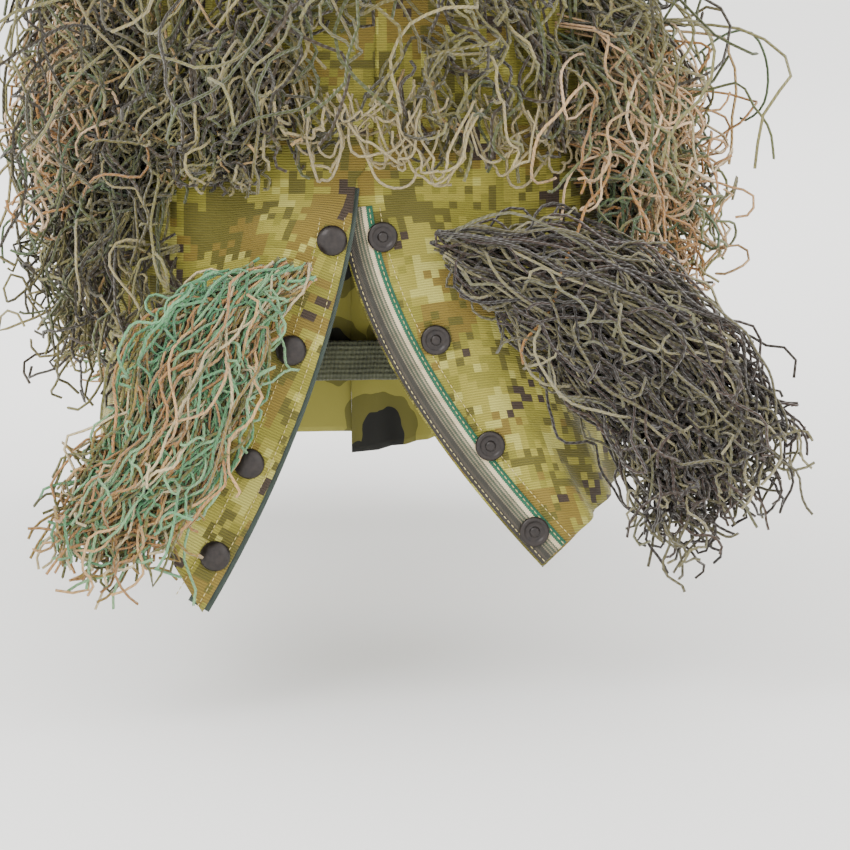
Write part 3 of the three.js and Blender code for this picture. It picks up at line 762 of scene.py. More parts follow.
def lacquered_metal(name):
    n = Nodes(name)
    place = n.add("ShaderNodeTexCoord").outputs["Object"]
    mottle = n.noise(place, 420.0, 4.0)
    edge = n.add("ShaderNodeNewGeometry").outputs["Pointiness"]
    worn = n.math("MULTIPLY", n.math("SUBTRACT", edge, 0.53), 7.0)
    colour = n.ramp(mottle, [(0.3, srgb(27, 22, 21)), (0.7, srgb(44, 37, 34))])
    colour = n.mix(n.fade(n.math("MULTIPLY", worn, mottle), 0.2, 0.7, 0.6), colour, srgb(150, 132, 112))
    n.set(Base_Color=colour, Metallic=0.55, Roughness=n.math("MULTIPLY_ADD", mottle, 0.25, 0.28),
          Coat_Weight=0.25, Coat_Roughness=0.2)
    n.bump(mottle, 0.15, 0.0002)
    return n.material


SNAP_METAL = lacquered_metal("lacquered_metal")


def turned(profile, places, up, flip=False, sides=40):
    """Copies of a turned profile in millimetres, standing at places along up."""
    up = Vector(up).normalized()
    across = up.cross(Vector((0, 1, 0))).normalized()
    other = up.cross(across)
    points, faces = [], []
    for place in places:
        start = len(points)
        rings = []
        for r, z in profile:
            level = Vector(place) + up * (z / 1000 * (-1 if flip else 1))
            if r == 0:
                rings.append([len(points)])
                points.append(level)
                continue
            rings.append(list(range(len(points), len(points) + sides)))
            for k in range(sides):
                angle = 2 * math.pi * k / sides
                points.append(level + (across * math.cos(angle) + other * math.sin(angle)) * (r / 1000))
        for a, b in zip(rings[:-1], rings[1:]):
            for k in range(sides):
                m = (k + 1) % sides
                quad = [a[k % len(a)], a[m % len(a)], b[m % len(b)], b[k % len(b)]]
                quad = list(dict.fromkeys(quad))
                if len(quad) > 2:
                    faces.append(tuple(quad))
    return points, faces


def snap_piece(name, profile, places, up, body, nodes, flip=False):
    points, faces = turned(profile, places, up, flip)
    made = mesh_object(name, points, faces, [SNAP_METAL])
    work = bmesh.new()
    work.from_mesh(made.data)
    bmesh.ops.remove_doubles(work, verts=work.verts, dist=1e-6)
    bmesh.ops.recalc_face_normals(work, faces=work.faces)
    work.to_mesh(made.data)
    work.free()
    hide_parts(*nodes)
    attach(made, body)
    return made


for side, label in SIDES:
    up = mirrored(VENT_OUT, side)
    front = [(-math.sin(CAP_TURN) * d, -math.cos(CAP_TURN) * d) for d in SNAP_DISTANCES]
    rear = [(math.sin(STUD_TURN) * d, -math.cos(STUD_TURN) * d) for d in SNAP_DISTANCES]
    caps = [mirrored(on_vent(y, z, FRONT_LIFT + 0.0006), side) for y, z in front]
    sockets = [mirrored(on_vent(y, z, FRONT_LIFT - 0.0012), side) for y, z in front]
    studs = [mirrored(on_vent(y, z, 0.0010), side) for y, z in rear]
    numbers = range(1, 5)
    snap_piece(f"{label}_snap_caps", CAP_PROFILE, caps, up, f"{label}_front_vent",
               [f"{label}_snap_cap_{k}" for k in numbers])
    snap_piece(f"{label}_snap_sockets", SOCKET_PROFILE, sockets, up, f"{label}_front_vent",
               [f"{label}_snap_socket_{k}" for k in numbers], flip=True)
    snap_piece(f"{label}_snap_studs", STUD_PROFILE, studs, up, f"{label}_rear_vent",
               [f"{label}_snap_stud_{k}" for k in numbers])


# Yarn on the front flaps ------------------------------------------------------------------------
# Cut lengths of two-ply jute and acrylic yarn are knotted to a net over the cloth. Here each lock
# of mint, peach, tan and ochre strands falls forwards over the front flap and ends in loose curls.

def twisted_yarn(name, colours, spread=0.10):
    """Two plies twisted together, dyed in the given colours, one to a strand."""
    n = Nodes(name)
    tint = n.add("ShaderNodeAttribute", attribute_name="tint").outputs["Fac"]
    along = n.add("ShaderNodeAttribute", attribute_name="along").outputs["Fac"]
    side = n.add("ShaderNodeAttribute", attribute_name="side").outputs["Vector"]
    round_yarn = n.add("ShaderNodeSeparateXYZ", {0: side})
    turn = n.math("ARCTAN2", round_yarn.outputs["Y"], round_yarn.outputs["X"])
    ply = n.math("SINE", n.math("ADD", n.math("MULTIPLY", turn, 2.0),
                                n.math("MULTIPLY", along, 2 * math.pi / 0.0034)))
    place = n.add("ShaderNodeTexCoord").outputs["Object"]
    stops = [((k + 0.02) / len(colours), srgb(*c)) for k, c in enumerate(colours)]
    dyed = n.ramp(tint, stops, "CONSTANT")
    patchy = n.math("MULTIPLY_ADD", n.noise(place, 60.0, 3.0), 2.2 * spread + 0.5, 0.62 - spread)
    # The grooves between the twisted plies are painted darker in the base colour: painted shade, besides the
    # bump. patchy is the yarn's own uneven tone.
    painted_groove_shade = n.math("MULTIPLY_ADD", ply, 0.16, 0.88)
    light = n.math("MULTIPLY", patchy, painted_groove_shade)
    n.set(Base_Color=n.mix(1.0, dyed, n.grey(light), "MULTIPLY"), Roughness=0.86, Sheen_Weight=0.25,
          Sheen_Roughness=0.6, Specular_IOR_Level=0.2)
    n.bump(ply, 0.6, 0.0004)
    return n.material


def yarn_steps():
    """Winds yarn round each hung line, thinner where the line's thick attribute is smaller."""
    s = Steps("wind_yarn", {"Radius": "NodeSocketFloat", "Sides": "NodeSocketInt",
                            "Finish": "NodeSocketMaterial"})
    thick = s.add("GeometryNodeInputNamedAttribute", {"Name": "thick"}, data_type="FLOAT")
    radius = s.add("GeometryNodeSetCurveRadius", {0: s.curves, "Radius": thick})
    circle = s.add("GeometryNodeCurvePrimitiveCircle", {"Resolution": s.given["Sides"], "Radius": 1.0})
    store = s.add("GeometryNodeStoreNamedAttribute", {
        "Geometry": circle, "Name": "side", "Value": s.add("GeometryNodeInputPosition")},
        data_type="FLOAT_VECTOR")
    size = s.add("GeometryNodeTransform", {"Geometry": store, "Scale": s.given["Radius"]})
    tube = s.add("GeometryNodeCurveToMesh", {"Curve": radius, "Profile Curve": size, "Fill Caps": True})
    smooth = s.add("GeometryNodeSetShadeSmooth", {0: tube})
    return s.finish(s.add("GeometryNodeRealizeInstances", {0: smooth}))


WIND_YARN = yarn_steps()


YARN_SIDES = 3
YARN_RADIUS, LEG_RADIUS, JACKET_RADIUS, HOOD_RADIUS = 0.00085, 0.00095, 0.00125, 0.0012
# How far strands may stand out sideways and fore and aft: freely, then drawn in over a further
# length that differs from strand to strand.
REACH = np.array([(0.425, 0.042), (0.190, 0.036)])
LOWEST = 0.003 - WAIST


def drawn_in(strands):
    """Strands that stand far off to the sides or the front and back, drawn in towards the suit."""
    strands = strands.copy()
    own = 0.35 + 0.65 * (np.arange(len(strands))[:, None] * 0.618 % 1)
    for axis, (free, furthest) in enumerate(REACH):
        over = furthest * own
        beyond = np.maximum(np.abs(strands[..., axis]) - free, 0)
        strands[..., axis] -= np.sign(strands[..., axis]) * (beyond - over * np.tanh(beyond / over))
    strands[..., 2] = np.maximum(strands[..., 2], LOWEST)
    return strands


def wind(name, strands, tints, material, radius):
    """Winds yarn along strands, an array (strand, point, xyz), and gives one plain mesh."""
    strands = drawn_in(strands)
    count, points, _ = strands.shape
    mesh = bpy.data.meshes.new(name)
    index = np.arange(count * points).reshape(count, points)
    edges = np.stack([index[:, :-1], index[:, 1:]], -1).reshape(-1, 2)
    mesh.vertices.add(count * points)
    mesh.vertices.foreach_set("co", strands.astype(np.float32).ravel())
    mesh.edges.add(len(edges))
    mesh.edges.foreach_set("vertices", edges.astype(np.int32).ravel())
    steps = np.linalg.norm(np.diff(strands, axis=1), axis=2)
    along = np.concatenate([np.zeros((count, 1)), np.cumsum(steps, 1)], 1)
    taper = np.ones((count, points))
    taper[:, -1] = 0.55
    values = {"tint": np.repeat(tints, points), "along": along.ravel(), "thick": taper.ravel()}
    for key, value in values.items():
        mesh.attributes.new(key, "FLOAT", "POINT").data.foreach_set("value", value.astype(np.float32))
    mesh.update()
    piece = WIND_YARN.run(put_in_scene(name, mesh), radius, YARN_SIDES, material)
    if not piece.data.materials:
        piece.data.materials.append(material)
    return piece


def wander(rng, shape, waves=(0.8, 1.9, 3.7), fall=0.75):
    """Smooth random wandering along each strand, (strand, point, xyz), from about -1 to 1."""
    count, points = shape
    t = np.linspace(0, 1, points)[None, :, None]
    total = np.zeros((count, points, 3))
    for number, wave in enumerate(waves):
        rate = wave * rng.uniform(0.7, 1.35, (count, 1, 3))
        phase = rng.uniform(0, 2 * math.pi, (count, 1, 3))
        total += np.sin(2 * math.pi * rate * t + phase) * fall ** number
    return total / 1.6


def spine_at(stations, u):
    """A smooth line through a bundle's stations at u, 0 to 1: its middle, widths and direction."""
    stations = np.asarray(stations, float) / 1000
    knots = np.linspace(0, 1, len(stations))
    fine = np.linspace(0, 1, 121)
    lines = np.stack([np.interp(fine, knots, stations[:, k]) for k in range(4)], -1)
    kernel = np.ones(17) / 17
    padded = np.pad(lines, ((8, 8), (0, 0)), mode="reflect", reflect_type="odd")
    lines = np.stack([np.convolve(padded[:, k], kernel, "valid") for k in range(4)], -1)
    u = np.clip(u, 0, 1)
    value = np.stack([np.interp(u, fine, lines[:, k]) for k in range(4)], -1)
    slope = np.gradient(lines[:, :2], axis=0)
    direction = unit(np.stack([np.interp(u, fine, slope[:, k]) for k in range(2)], -1))
    return value, direction


def bundle(rng, stations, count, points, lift, locks, length=(0.75, 1.2), start=(0.0, 0.4),
           wave=0.45, waves=(1.6, 3.6, 7.5), curl=1.0, droop=0.5, loosen=0.62, sway=0.45):
    """Strands that fall along a bundle's spine outside a flap, in the vent's own y, z and out."""
    stations = np.asarray(stations, float)
    spine_length = np.linalg.norm(np.diff(stations[:, :2], axis=0), axis=1).sum() / 1000
    lock = rng.integers(0, locks, count)
    lane = (rng.uniform(-1, 1, locks)[lock] + rng.normal(0, 0.14, count)).clip(-1.1, 1.1)
    layer = rng.uniform(0, 1, locks)[lock] * 0.7 + rng.uniform(0, 0.3, count)
    u = (rng.uniform(*start, locks)[lock] + rng.normal(0, 0.03, count)).clip(0, 0.95)
    run = rng.uniform(*length, count) * spine_length
    run = np.maximum(run * (1 - u * 0.85), 0.05)
    step = run / (points - 1)
    middle, direction = spine_at(stations, u)
    across = np.stack([-direction[:, 1], direction[:, 0]], -1)
    place = np.concatenate([middle[:, :2] + across * (lane * middle[:, 2] * 0.8)[:, None],
                            (lift + middle[:, 3] * layer * 1.2)[:, None]], 1)
    own = wander(rng, (count, points), waves, 0.85)
    shared = wander(rng, (locks, points), (0.9, 2.3, 4.4))[lock]
    strands = [place]
    for k in range(1, points):
        part = k / (points - 1)
        u = u + step / spine_length
        middle, direction = spine_at(stations, u)
        across = np.stack([-direction[:, 1], direction[:, 0]], -1)
        goal = np.concatenate([middle[:, :2] + across * (lane * middle[:, 2])[:, None],
                               (lift + middle[:, 3] * 2 * layer)[:, None]], 1)
        loose = smoothstep(part, loosen, 1.0)
        pull = (goal - place) / 0.042 * (1 - loose)
        pull[:, 2] *= 0.5
        heading = np.concatenate([direction, np.zeros((count, 1))], 1)
        heading[:, 1] -= droop * loose
        wiggle = own[:, k] * (wave + curl * loose) + shared[:, k] * (sway + 0.3 * loose)
        wiggle[:, 2] *= 0.7
        place = place + unit(heading + pull + wiggle) * step[:, None]
        place[:, 2] = np.maximum(place[:, 2], lift * 0.9 + 0.004 * layer)
        strands.append(place)
    return np.stack(strands, 1)


def from_vent(strands, side):
    """Strands in the vent's own y, z and out, placed on the left (1) or right (-1) leg."""
    return mirrored(on_vent(strands[..., 0], strands[..., 1], strands[..., 2]), side)


FRONT_BUNDLE = [(-22, -43, 7, 5), (-47, -54, 21, 10), (-72, -76, 32, 14), (-87, -104, 28, 15),
                (-103, -137, 26, 14), (-122, -163, 21, 12), (-142, -184, 15, 9)]
FRONT_YARN = twisted_yarn("front_flap_yarn", [
    (112, 168, 120), (78, 134, 92), (212, 170, 114), (184, 136, 82), (148, 122, 60), (106, 104, 52),
    (208, 190, 144), (132, 176, 126), (164, 122, 70), (92, 146, 100), (194, 156, 100), (86, 84, 46)])
SNAP_RISE = 0.0032
CLEAR = SNAP_RISE + FLAP_CLOTH + 0.002          # the yarn lies clear of the snaps under it
FLAP_POINTS = 28
FRONT_STRANDS, FRONT_LOCKS, FRONT_OVER = 430, 44, 90
REAR_STRANDS, REAR_LOCKS, REAR_OVER = 540, 60, 60
OVER_LOCKS, OVER_WAVES = 30, (1.2, 2.6, 4.5)


def lock_tints(rng, lock, own=0.4):
    """A colour for each strand, partly its lock's and partly its own."""
    return rng.uniform(0, 1, lock.max() + 1)[lock] * (1 - own) + rng.uniform(0, own, len(lock))


for side, label in SIDES:
    rng = np.random.default_rng(31)
    strands = bundle(rng, FRONT_BUNDLE, FRONT_STRANDS, FLAP_POINTS, FRONT_LIFT + CLEAR, FRONT_LOCKS,
                     start=(0.0, 0.42), wave=0.55, waves=(1.3, 2.9, 5.8), sway=0.65)
    over = bundle(rng, FRONT_BUNDLE, FRONT_OVER, FLAP_POINTS, FRONT_LIFT + CLEAR + 0.008, OVER_LOCKS,
                  start=(0.05, 0.6), length=(0.35, 0.8), wave=1.25, waves=OVER_WAVES, curl=1.2, loosen=0.3)
    tints = np.concatenate([lock_tints(rng, rng.integers(0, FRONT_LOCKS, FRONT_STRANDS), 0.5),
                            rng.choice([0.02, 0.1, 0.62, 0.78], FRONT_OVER)])
    strands = from_vent(np.concatenate([strands, over]), side)
    piece = wind(f"{label}_front_flap_strands", strands, tints, FRONT_YARN, YARN_RADIUS)
    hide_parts(f"{label}_front_flap_yarn")
    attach(piece, f"{label}_front_vent")


# Yarn on the rear flaps -------------------------------------------------------------------------
# Dark brown and grey olive locks are looped at the top of the rear flap and sweep backwards, then
# break into long kinked ends behind the heel.

REAR_BUNDLE = [(38, -30, 6, 6), (63, -46, 26, 10), (94, -58, 40, 16), (128, -82, 41, 18), (162, -110, 38, 18),
               (184, -137, 40, 17), (192, -168, 36, 14)]
DARK_YARN = twisted_yarn("rear_flap_yarn", [
    (56, 44, 34), (116, 110, 76), (72, 56, 44), (44, 35, 28), (98, 92, 62), (60, 48, 38), (150, 142, 106),
    (50, 42, 32), (84, 78, 52), (66, 50, 42), (110, 108, 78), (40, 32, 26)])

for side, label in SIDES:
    rng = np.random.default_rng(47)
    strands = bundle(rng, REAR_BUNDLE, REAR_STRANDS, FLAP_POINTS, CLEAR, REAR_LOCKS, start=(0.0, 0.62),
                     wave=0.75, waves=(1.2, 2.6, 5.2), curl=1.5, droop=0.35, sway=0.75)
    over = bundle(rng, REAR_BUNDLE, REAR_OVER, FLAP_POINTS, CLEAR + 0.012, OVER_LOCKS, start=(0.2, 0.8),
                  length=(0.4, 0.8), wave=1.3, waves=OVER_WAVES, curl=1.5, loosen=0.3)
    tints = np.concatenate([lock_tints(rng, rng.integers(0, REAR_LOCKS, REAR_STRANDS), 0.6),
                            rng.uniform(0, 1, REAR_OVER)])
    strands = from_vent(np.concatenate([strands, over]), side)
    piece = wind(f"{label}_rear_flap_strands", strands, tints, DARK_YARN, YARN_RADIUS)
    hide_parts(f"{label}_rear_flap_yarn")
    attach(piece, f"{label}_rear_vent")


# Yarn on the trouser legs -----------------------------------------------------------------------
# The legs carry rows of knotted locks, dense enough to hide the cloth. Each strand leaves its knot
# outwards, turns down under its own weight and lies over the strands below it.

def keep_off_leg(points, clearance):
    """Pushes points out of the left leg, to a clearance from its cloth."""
    height = np.clip(points[:, 2] + WAIST, 0.06, 0.80)
    x, y, wide, deep, square = ring_at(LEG_RINGS, height)
    away_x, away_y = points[:, 0] - x, points[:, 1] - y
    level = (np.abs(away_x / (wide + clearance)) ** square
             + np.abs(away_y / (deep + clearance)) ** square)
    scale = np.where(level < 1, np.maximum(level, 1e-6) ** (-1 / square), 1)
    scale = np.minimum(scale, 1 + 0.02 / np.maximum(np.hypot(away_x, away_y), 1e-4))
    return np.stack([x + away_x * scale, y + away_y * scale, points[:, 2]], -1)


def hang(rng, knots, outward, lock, lengths, points, keep_off, curl=0.55, depth=(0.002, 0.020),
         weight=0.30):
    """Strands hung from knots. lock numbers the strands that share a knot's wandering."""
    count = len(knots)
    step = lengths / (points - 1)
    own = wander(rng, (count, points), (1.1, 2.6, 5.0))
    shared = wander(rng, (lock.max() + 1, points), (0.7, 1.6))[lock]
    heading = unit(outward + rng.normal(0, 0.45, (count, 3)))
    layer = rng.uniform(0, 1, count)
    clearance = depth[0] + (depth[1] - depth[0]) * layer
    place = knots.copy()
    strands = [place]
    for k in range(1, points):
        part = k / (points - 1)
        loose = curl * (0.45 + 0.9 * smoothstep(part, 0.5, 1.0))
        heading = unit(heading * 0.75 + own[:, k] * loose + shared[:, k] * 0.35
                       + np.array([0, 0, -weight]))
        place = keep_off(place + heading * step[:, None], clearance)
        strands.append(place)
    return np.stack(strands, 1)


LEG_YARN = twisted_yarn("leg_yarn", [
    (94, 88, 48), (114, 108, 62), (70, 64, 36), (136, 130, 82), (54, 46, 30), (80, 86, 46),
    (154, 142, 96), (104, 96, 50), (66, 54, 36), (120, 116, 74), (182, 150, 98), (84, 78, 42)])


def leg_knots(rng, locks, each, low, high, angles, spread=0.004):
    height = rng.uniform(low, high, locks)
    degrees = rng.uniform(*angles, locks)
    lock = np.repeat(np.arange(locks), each)
    height = height[lock] + rng.normal(0, spread, len(lock))
    degrees = degrees[lock] + rng.normal(0, 2.0, len(lock))
    knots = leg_point(height, degrees, 0.003)
    return knots, unit(knots - leg_point(height, degrees, -0.05)), lock


def leg_coat(rng, locks, each, low, high, angles, length, floor, points, curl=0.55, depth=(0.002, 0.020),
             weight=0.30):
    """Locks of yarn hung on the left leg. No strand reaches much below the floor, a height."""
    knots, outward, lock = leg_knots(rng, locks, each, low, high, angles)
    over_vent = (np.abs(knots[:, 1] - VENT_Y) < BARE_WIDTH) & (outward[:, 0] > 0)
    floor = np.where(over_vent, max(floor, VENT_HEIGHT), floor)
    lengths = np.minimum(rng.uniform(*length, len(lock)), (knots[:, 2] + WAIST - floor) * 1.2 + 0.012)
    return hang(rng, knots, outward, lock, lengths, points, keep_off_leg, curl, depth, weight), lock


BARE_WIDTH = 0.085          # locks this near the slit, fore and aft, end near its top
LEG_COATS = (
    dict(locks=165, each=8, low=0.335, high=0.775, angles=(-170, 170), length=(0.10, 0.20), floor=0.20,
         points=14),
    dict(locks=64, each=8, low=0.315, high=0.450, angles=(-95, 105), length=(0.05, 0.12), floor=0.285,
         points=14, curl=0.9))
SHIN_COATS = (
    dict(locks=56, each=8, low=0.225, high=0.345, angles=(-150, -30), length=(0.06, 0.13), floor=0.13,
         points=17, curl=0.8, depth=(0.004, 0.026)),
    dict(locks=34, each=8, low=0.272, high=0.335, angles=(-66, -22), length=(0.05, 0.09), floor=0.238,
         points=17, curl=0.9, depth=(0.004, 0.022)),
    dict(locks=38, each=8, low=0.200, high=0.345, angles=(62, 165), length=(0.06, 0.12), floor=0.14,
         points=17, curl=0.8))
TUFT_COATS = (
    dict(locks=20, each=10, low=0.285, high=0.350, angles=(-118, -62), length=(0.08, 0.13), floor=0.19,
         points=22, curl=0.9, depth=(0.012, 0.034), weight=0.22),
    dict(locks=30, each=10, low=0.265, high=0.350, angles=(46, 112), length=(0.08, 0.14), floor=0.17,
         points=22, curl=0.85, depth=(0.012, 0.040), weight=0.22))
LOOPS, LOOP_POINTS = 46, 22


def hang_coats(rng, coats):
    """The strands of several coats in one array, and each coat's lock numbers."""
    hung = [leg_coat(rng, **coat) for coat in coats]
    return np.concatenate([strands for strands, _ in hung]), [lock for _, lock in hung]


def coat_tints(rng, locks):
    return np.concatenate([lock_tints(rng, lock) for lock in locks])


def yarn_loops(rng):
    """Single strands that hang in shallow loops across the cloth just above the vent."""
    t = np.linspace(0, 1, LOOP_POINTS)[None]
    left_end = rng.uniform(-0.045, 0.115, LOOPS)[:, None]
    across = left_end + rng.uniform(0.012, 0.050, LOOPS)[:, None] * t
    drop = VENT_HEIGHT + rng.uniform(0.026, 0.05, LOOPS)[:, None]
    drop = drop - rng.uniform(0.014, 0.036, LOOPS)[:, None] * np.sin(math.pi * t) ** 0.8
    shake = wander(rng, (LOOPS, LOOP_POINTS), (1.2, 2.8)) * 0.004
    y = across + VENT_Y + shake[..., 1]
    height = drop + shake[..., 2]
    loops = leg_point(height, angle_at(height, y), rng.uniform(0.008, 0.026, LOOPS)[:, None])
    loops[..., 1] = y
    return loops


TUFT_YARN = twisted_yarn("tuft_yarn", [
    (206, 176, 130), (226, 202, 162), (186, 142, 92), (110, 116, 70), (168, 122, 66), (232, 196, 152),
    (84, 104, 66), (196, 160, 112), (134, 128, 78), (214, 170, 122), (70, 66, 46), (176, 160, 116)])

for side, label in SIDES:
    rng = np.random.default_rng(5)
    strands, locks = hang_coats(rng, LEG_COATS)
    tints = coat_tints(rng, locks)
    piece = wind(f"{label}_leg_strands", mirrored(strands, side), tints, LEG_YARN, LEG_RADIUS)
    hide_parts(f"{label}_leg_yarn")
    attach(piece, "root")

    # Grey olive locks hang thick over the shin side down to the hem, and under the calf side.
    strands, locks = hang_coats(rng, SHIN_COATS)
    tints = coat_tints(rng, locks)
    piece = wind(f"{label}_shin_strands", mirrored(strands, side), tints, LEG_YARN, YARN_RADIUS)
    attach(piece, "root")

    # Tan and cream tufts stand out in front of the shin and behind the calf, above the vent.
    strands, locks = hang_coats(rng, TUFT_COATS)
    strands = np.concatenate([strands, yarn_loops(rng)])
    tints = np.concatenate([coat_tints(rng, locks), rng.uniform(0.9, 1.0, LOOPS)])
    piece = wind(f"{label}_tuft_strands", mirrored(strands, side), tints, TUFT_YARN, YARN_RADIUS)
    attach(piece, "root")


# Jacket -----------------------------------------------------------------------------------------
# The jacket is cut in two fronts and a back from the same printed cloth, and hangs loose to the
# hips. A fly of double cloth covers the front closing, sewn down with two rows of lockstitch.

JACKET_RINGS = np.array([         # height, half width, half depth
    (0.800, 0.242, 0.176), (1.000, 0.230, 0.166), (1.260, 0.238, 0.166), (1.380, 0.212, 0.148),
    (1.440, 0.168, 0.124), (1.480, 0.108, 0.104)])
JACKET_HEM, JACKET_TOP = 0.802, 1.478
SLEEVE_PATH = np.array([(0.150, 0.0, 1.372), (0.238, 0.0, 1.336), (0.296, -0.008, 1.160),
                        (0.332, -0.034, 0.960), (0.350, -0.066, 0.800)])
SLEEVE_RADII = np.array([0.088, 0.086, 0.080, 0.070, 0.058])


def through(values, t):
    """A smooth line through values, at t from 0 to 1."""
    values = np.asarray(values, float)
    ends = np.concatenate([2 * values[:1] - values[1:2], values, 2 * values[-1:] - values[-2:-1]])
    place = np.clip(np.asarray(t, float), 0, 1) * (len(values) - 1)
    k = np.minimum(place.astype(int), len(values) - 2)
    part = (place - k)[(...,) + (None,) * (values.ndim - 1)]
    a, b, c, d = (ends[k + i] for i in range(4))
    return 0.5 * (2 * b + (c - a) * part + (2 * a - 5 * b + 4 * c - d) * part ** 2
                  + (3 * b - a - 3 * c + d) * part ** 3)


def jacket_point(height, degrees, out=0.0):
    wide, deep = ring_at(JACKET_RINGS, height)
    angle = np.radians(degrees)
    return np.stack([(wide + out) * np.cos(angle), (deep + out) * np.sin(angle),
                     np.asarray(height) - WAIST + 0 * angle], -1)


def sleeve_distance(points):
    """How far points stand outside the nearer sleeve, and the way out from its middle."""
    path = through(SLEEVE_PATH, np.linspace(0, 1, 33))
    path[:, 2] -= WAIST
    radii = through(SLEEVE_RADII, np.linspace(0, 1, 33))
    folded = np.concatenate([np.abs(points[..., :1]), points[..., 1:]], -1)
    apart = folded[..., None, :] - path
    length = np.linalg.norm(apart, axis=-1)
    best = np.argmin(length - radii, axis=-1)
    picked = np.take_along_axis(apart, best[..., None, None], -2)[..., 0, :]
    picked = np.concatenate([picked[..., :1] * np.where(points[..., :1] < 0, -1, 1), picked[..., 1:]], -1)
    return np.take_along_axis(length - radii, best[..., None], -1)[..., 0], unit(picked)


def jacket_surface(begin, end):
    def surface(u, v):
        points = jacket_point(JACKET_HEM + (JACKET_TOP - JACKET_HEM) * u, begin + (end - begin) * v)
        outwards = unit(points * np.array([1, 1, 0]))
        fold = (0.0045 * wavy(points, (0.08, 0.08, 0.24), 3.3)
                + 0.0016 * wavy(points, (0.025, 0.025, 0.09), 8.8))
        return points + outwards * (fold * np.sin(math.pi * v) ** 0.5)[..., None]
    return surface


for name, node, begin, end, columns, width in (
        ("jacket_front_left", "jacket_left_front", -90, 0, 46, 0.36),
        ("jacket_front_right", "jacket_right_front", -180, -90, 46, 0.36),
        ("jacket_back_cloth", "jacket_back", 0, 180, 90, 0.70)):
    piece = band(name, jacket_surface(begin, end), 84, columns, [PRINTED], CLOTH,
                 cut=lambda middles: sleeve_distance(middles)[0] < -0.006)
    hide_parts(node)
    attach(piece, "root")


def placket_surface(u, v):
    return jacket_point(JACKET_HEM + 0.010 + 0.613 * u, -97.5 + 15 * v,
                        0.0056 + 0.0012 * np.sin(math.pi * v))


piece = band("front_fly", placket_surface, 90, 12, [PRINTED], 0.0016)
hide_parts("jacket_placket")
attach(piece, "root")
rows = np.linspace(0.822, 1.415, 260)
piece = stitch("fly_stitches", [jacket_point(rows, angle, 0.0062 + out)
                                for angle, out in ((-96.3, 0), (-84.0, 0.0), (-86.0, 0.0004))], "root")


# Sleeves and cuffs ------------------------------------------------------------------------------
# Loose set-in sleeves hang a little forwards from the shoulders, creased at the elbows, and end in
# knitted elastic cuffs.

def sleeve_surface(side, begin, end, out, creased):
    def surface(u, v):
        t = begin + (end - begin) * u[:, 0]
        middle = through(SLEEVE_PATH, t)
        middle[:, 2] -= WAIST
        tangent = unit(through(SLEEVE_PATH, np.minimum(t + 0.01, 1))
                       - through(SLEEVE_PATH, np.maximum(t - 0.01, 0)))
        deep = unit(np.array([0, 1, 0]) - tangent * tangent[:, 1:2])
        wide = np.cross(tangent, deep)
        radius = through(SLEEVE_RADII, t) + out
        angle = 2 * math.pi * v
        ring = deep[:, None] * np.cos(angle)[..., None] + wide[:, None] * np.sin(angle)[..., None]
        points = middle[:, None] + ring * radius[:, None, None]
        elbow = 1 + 1.6 * np.exp(-((t - 0.55) / 0.12) ** 2)[:, None]
        fold = 0.0030 * wavy(points, (0.07, 0.07, 0.05), 5.5 * side) * elbow
        fold += 0.0012 * wavy(points, (0.02, 0.02, 0.03), 2.5)
        return mirrored(points + ring * (fold * creased)[..., None], side)
    return surface


def in_jacket(middles):
    wide, deep = ring_at(JACKET_RINGS, middles[:, 2] + WAIST)
    level = (middles[:, 0] / (wide - 0.006)) ** 2 + (middles[:, 1] / (deep - 0.006)) ** 2
    return (level < 1) & (middles[:, 2] + WAIST < 1.47)


for side, label in SIDES:
    piece = band(f"{label}_sleeve_cloth", sleeve_surface(side, 0.06, 0.955, 0.0, 1.0), 100, 61, [PRINTED],
                 CLOTH, flip=side > 0, closed=True, cut=in_jacket)
    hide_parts(f"{label}_sleeve")
    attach(piece, "root")
    piece = band(f"{label}_cuff_band", sleeve_surface(side, 0.953, 1.0, -0.0015, 0.0), 14, 121, [ELASTIC],
                 0.0030, flip=side > 0, closed=True)
    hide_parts(f"{label}_cuff")
    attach(piece, "root")


# Yarn on the jacket and sleeves -----------------------------------------------------------------
# The same knotted locks cover the body and sleeves, longer and more mixed in colour, from the
# shoulders to below the hem.

JACKET_YARN = twisted_yarn("jacket_yarn", [
    (92, 88, 60), (112, 108, 74), (66, 60, 44), (134, 130, 94), (176, 146, 100), (84, 92, 64),
    (150, 140, 104), (104, 98, 62), (58, 52, 42), (126, 150, 106), (196, 170, 124), (88, 84, 56)])


def keep_off_jacket(points, clearance):
    height = points[:, 2] + WAIST
    wide, deep = ring_at(JACKET_RINGS, np.clip(height, 0.80, 1.48))
    radius = np.sqrt((points[:, 0] / (wide + clearance)) ** 2 + (points[:, 1] / (deep + clearance)) ** 2)
    inside = (radius < 1) & (height < 1.48) & (height > 0.74)
    scale = np.where(inside, 1 / np.maximum(radius, 0.2), 1)
    points = np.stack([points[:, 0] * scale, points[:, 1] * scale, points[:, 2]], -1)
    gap, out = sleeve_distance(points)
    return points + out * np.where(gap < clearance, clearance - gap, 0)[:, None]


def knot_rows(rng, locks, each, place, spread=0.006):
    """Knots for locks of strands: their places, the way out of the cloth, and the lock's number."""
    points, outward = place(rng, locks)
    lock = np.repeat(np.arange(locks), each)
    return points[lock] + rng.normal(0, spread, (len(lock), 3)), outward[lock], lock


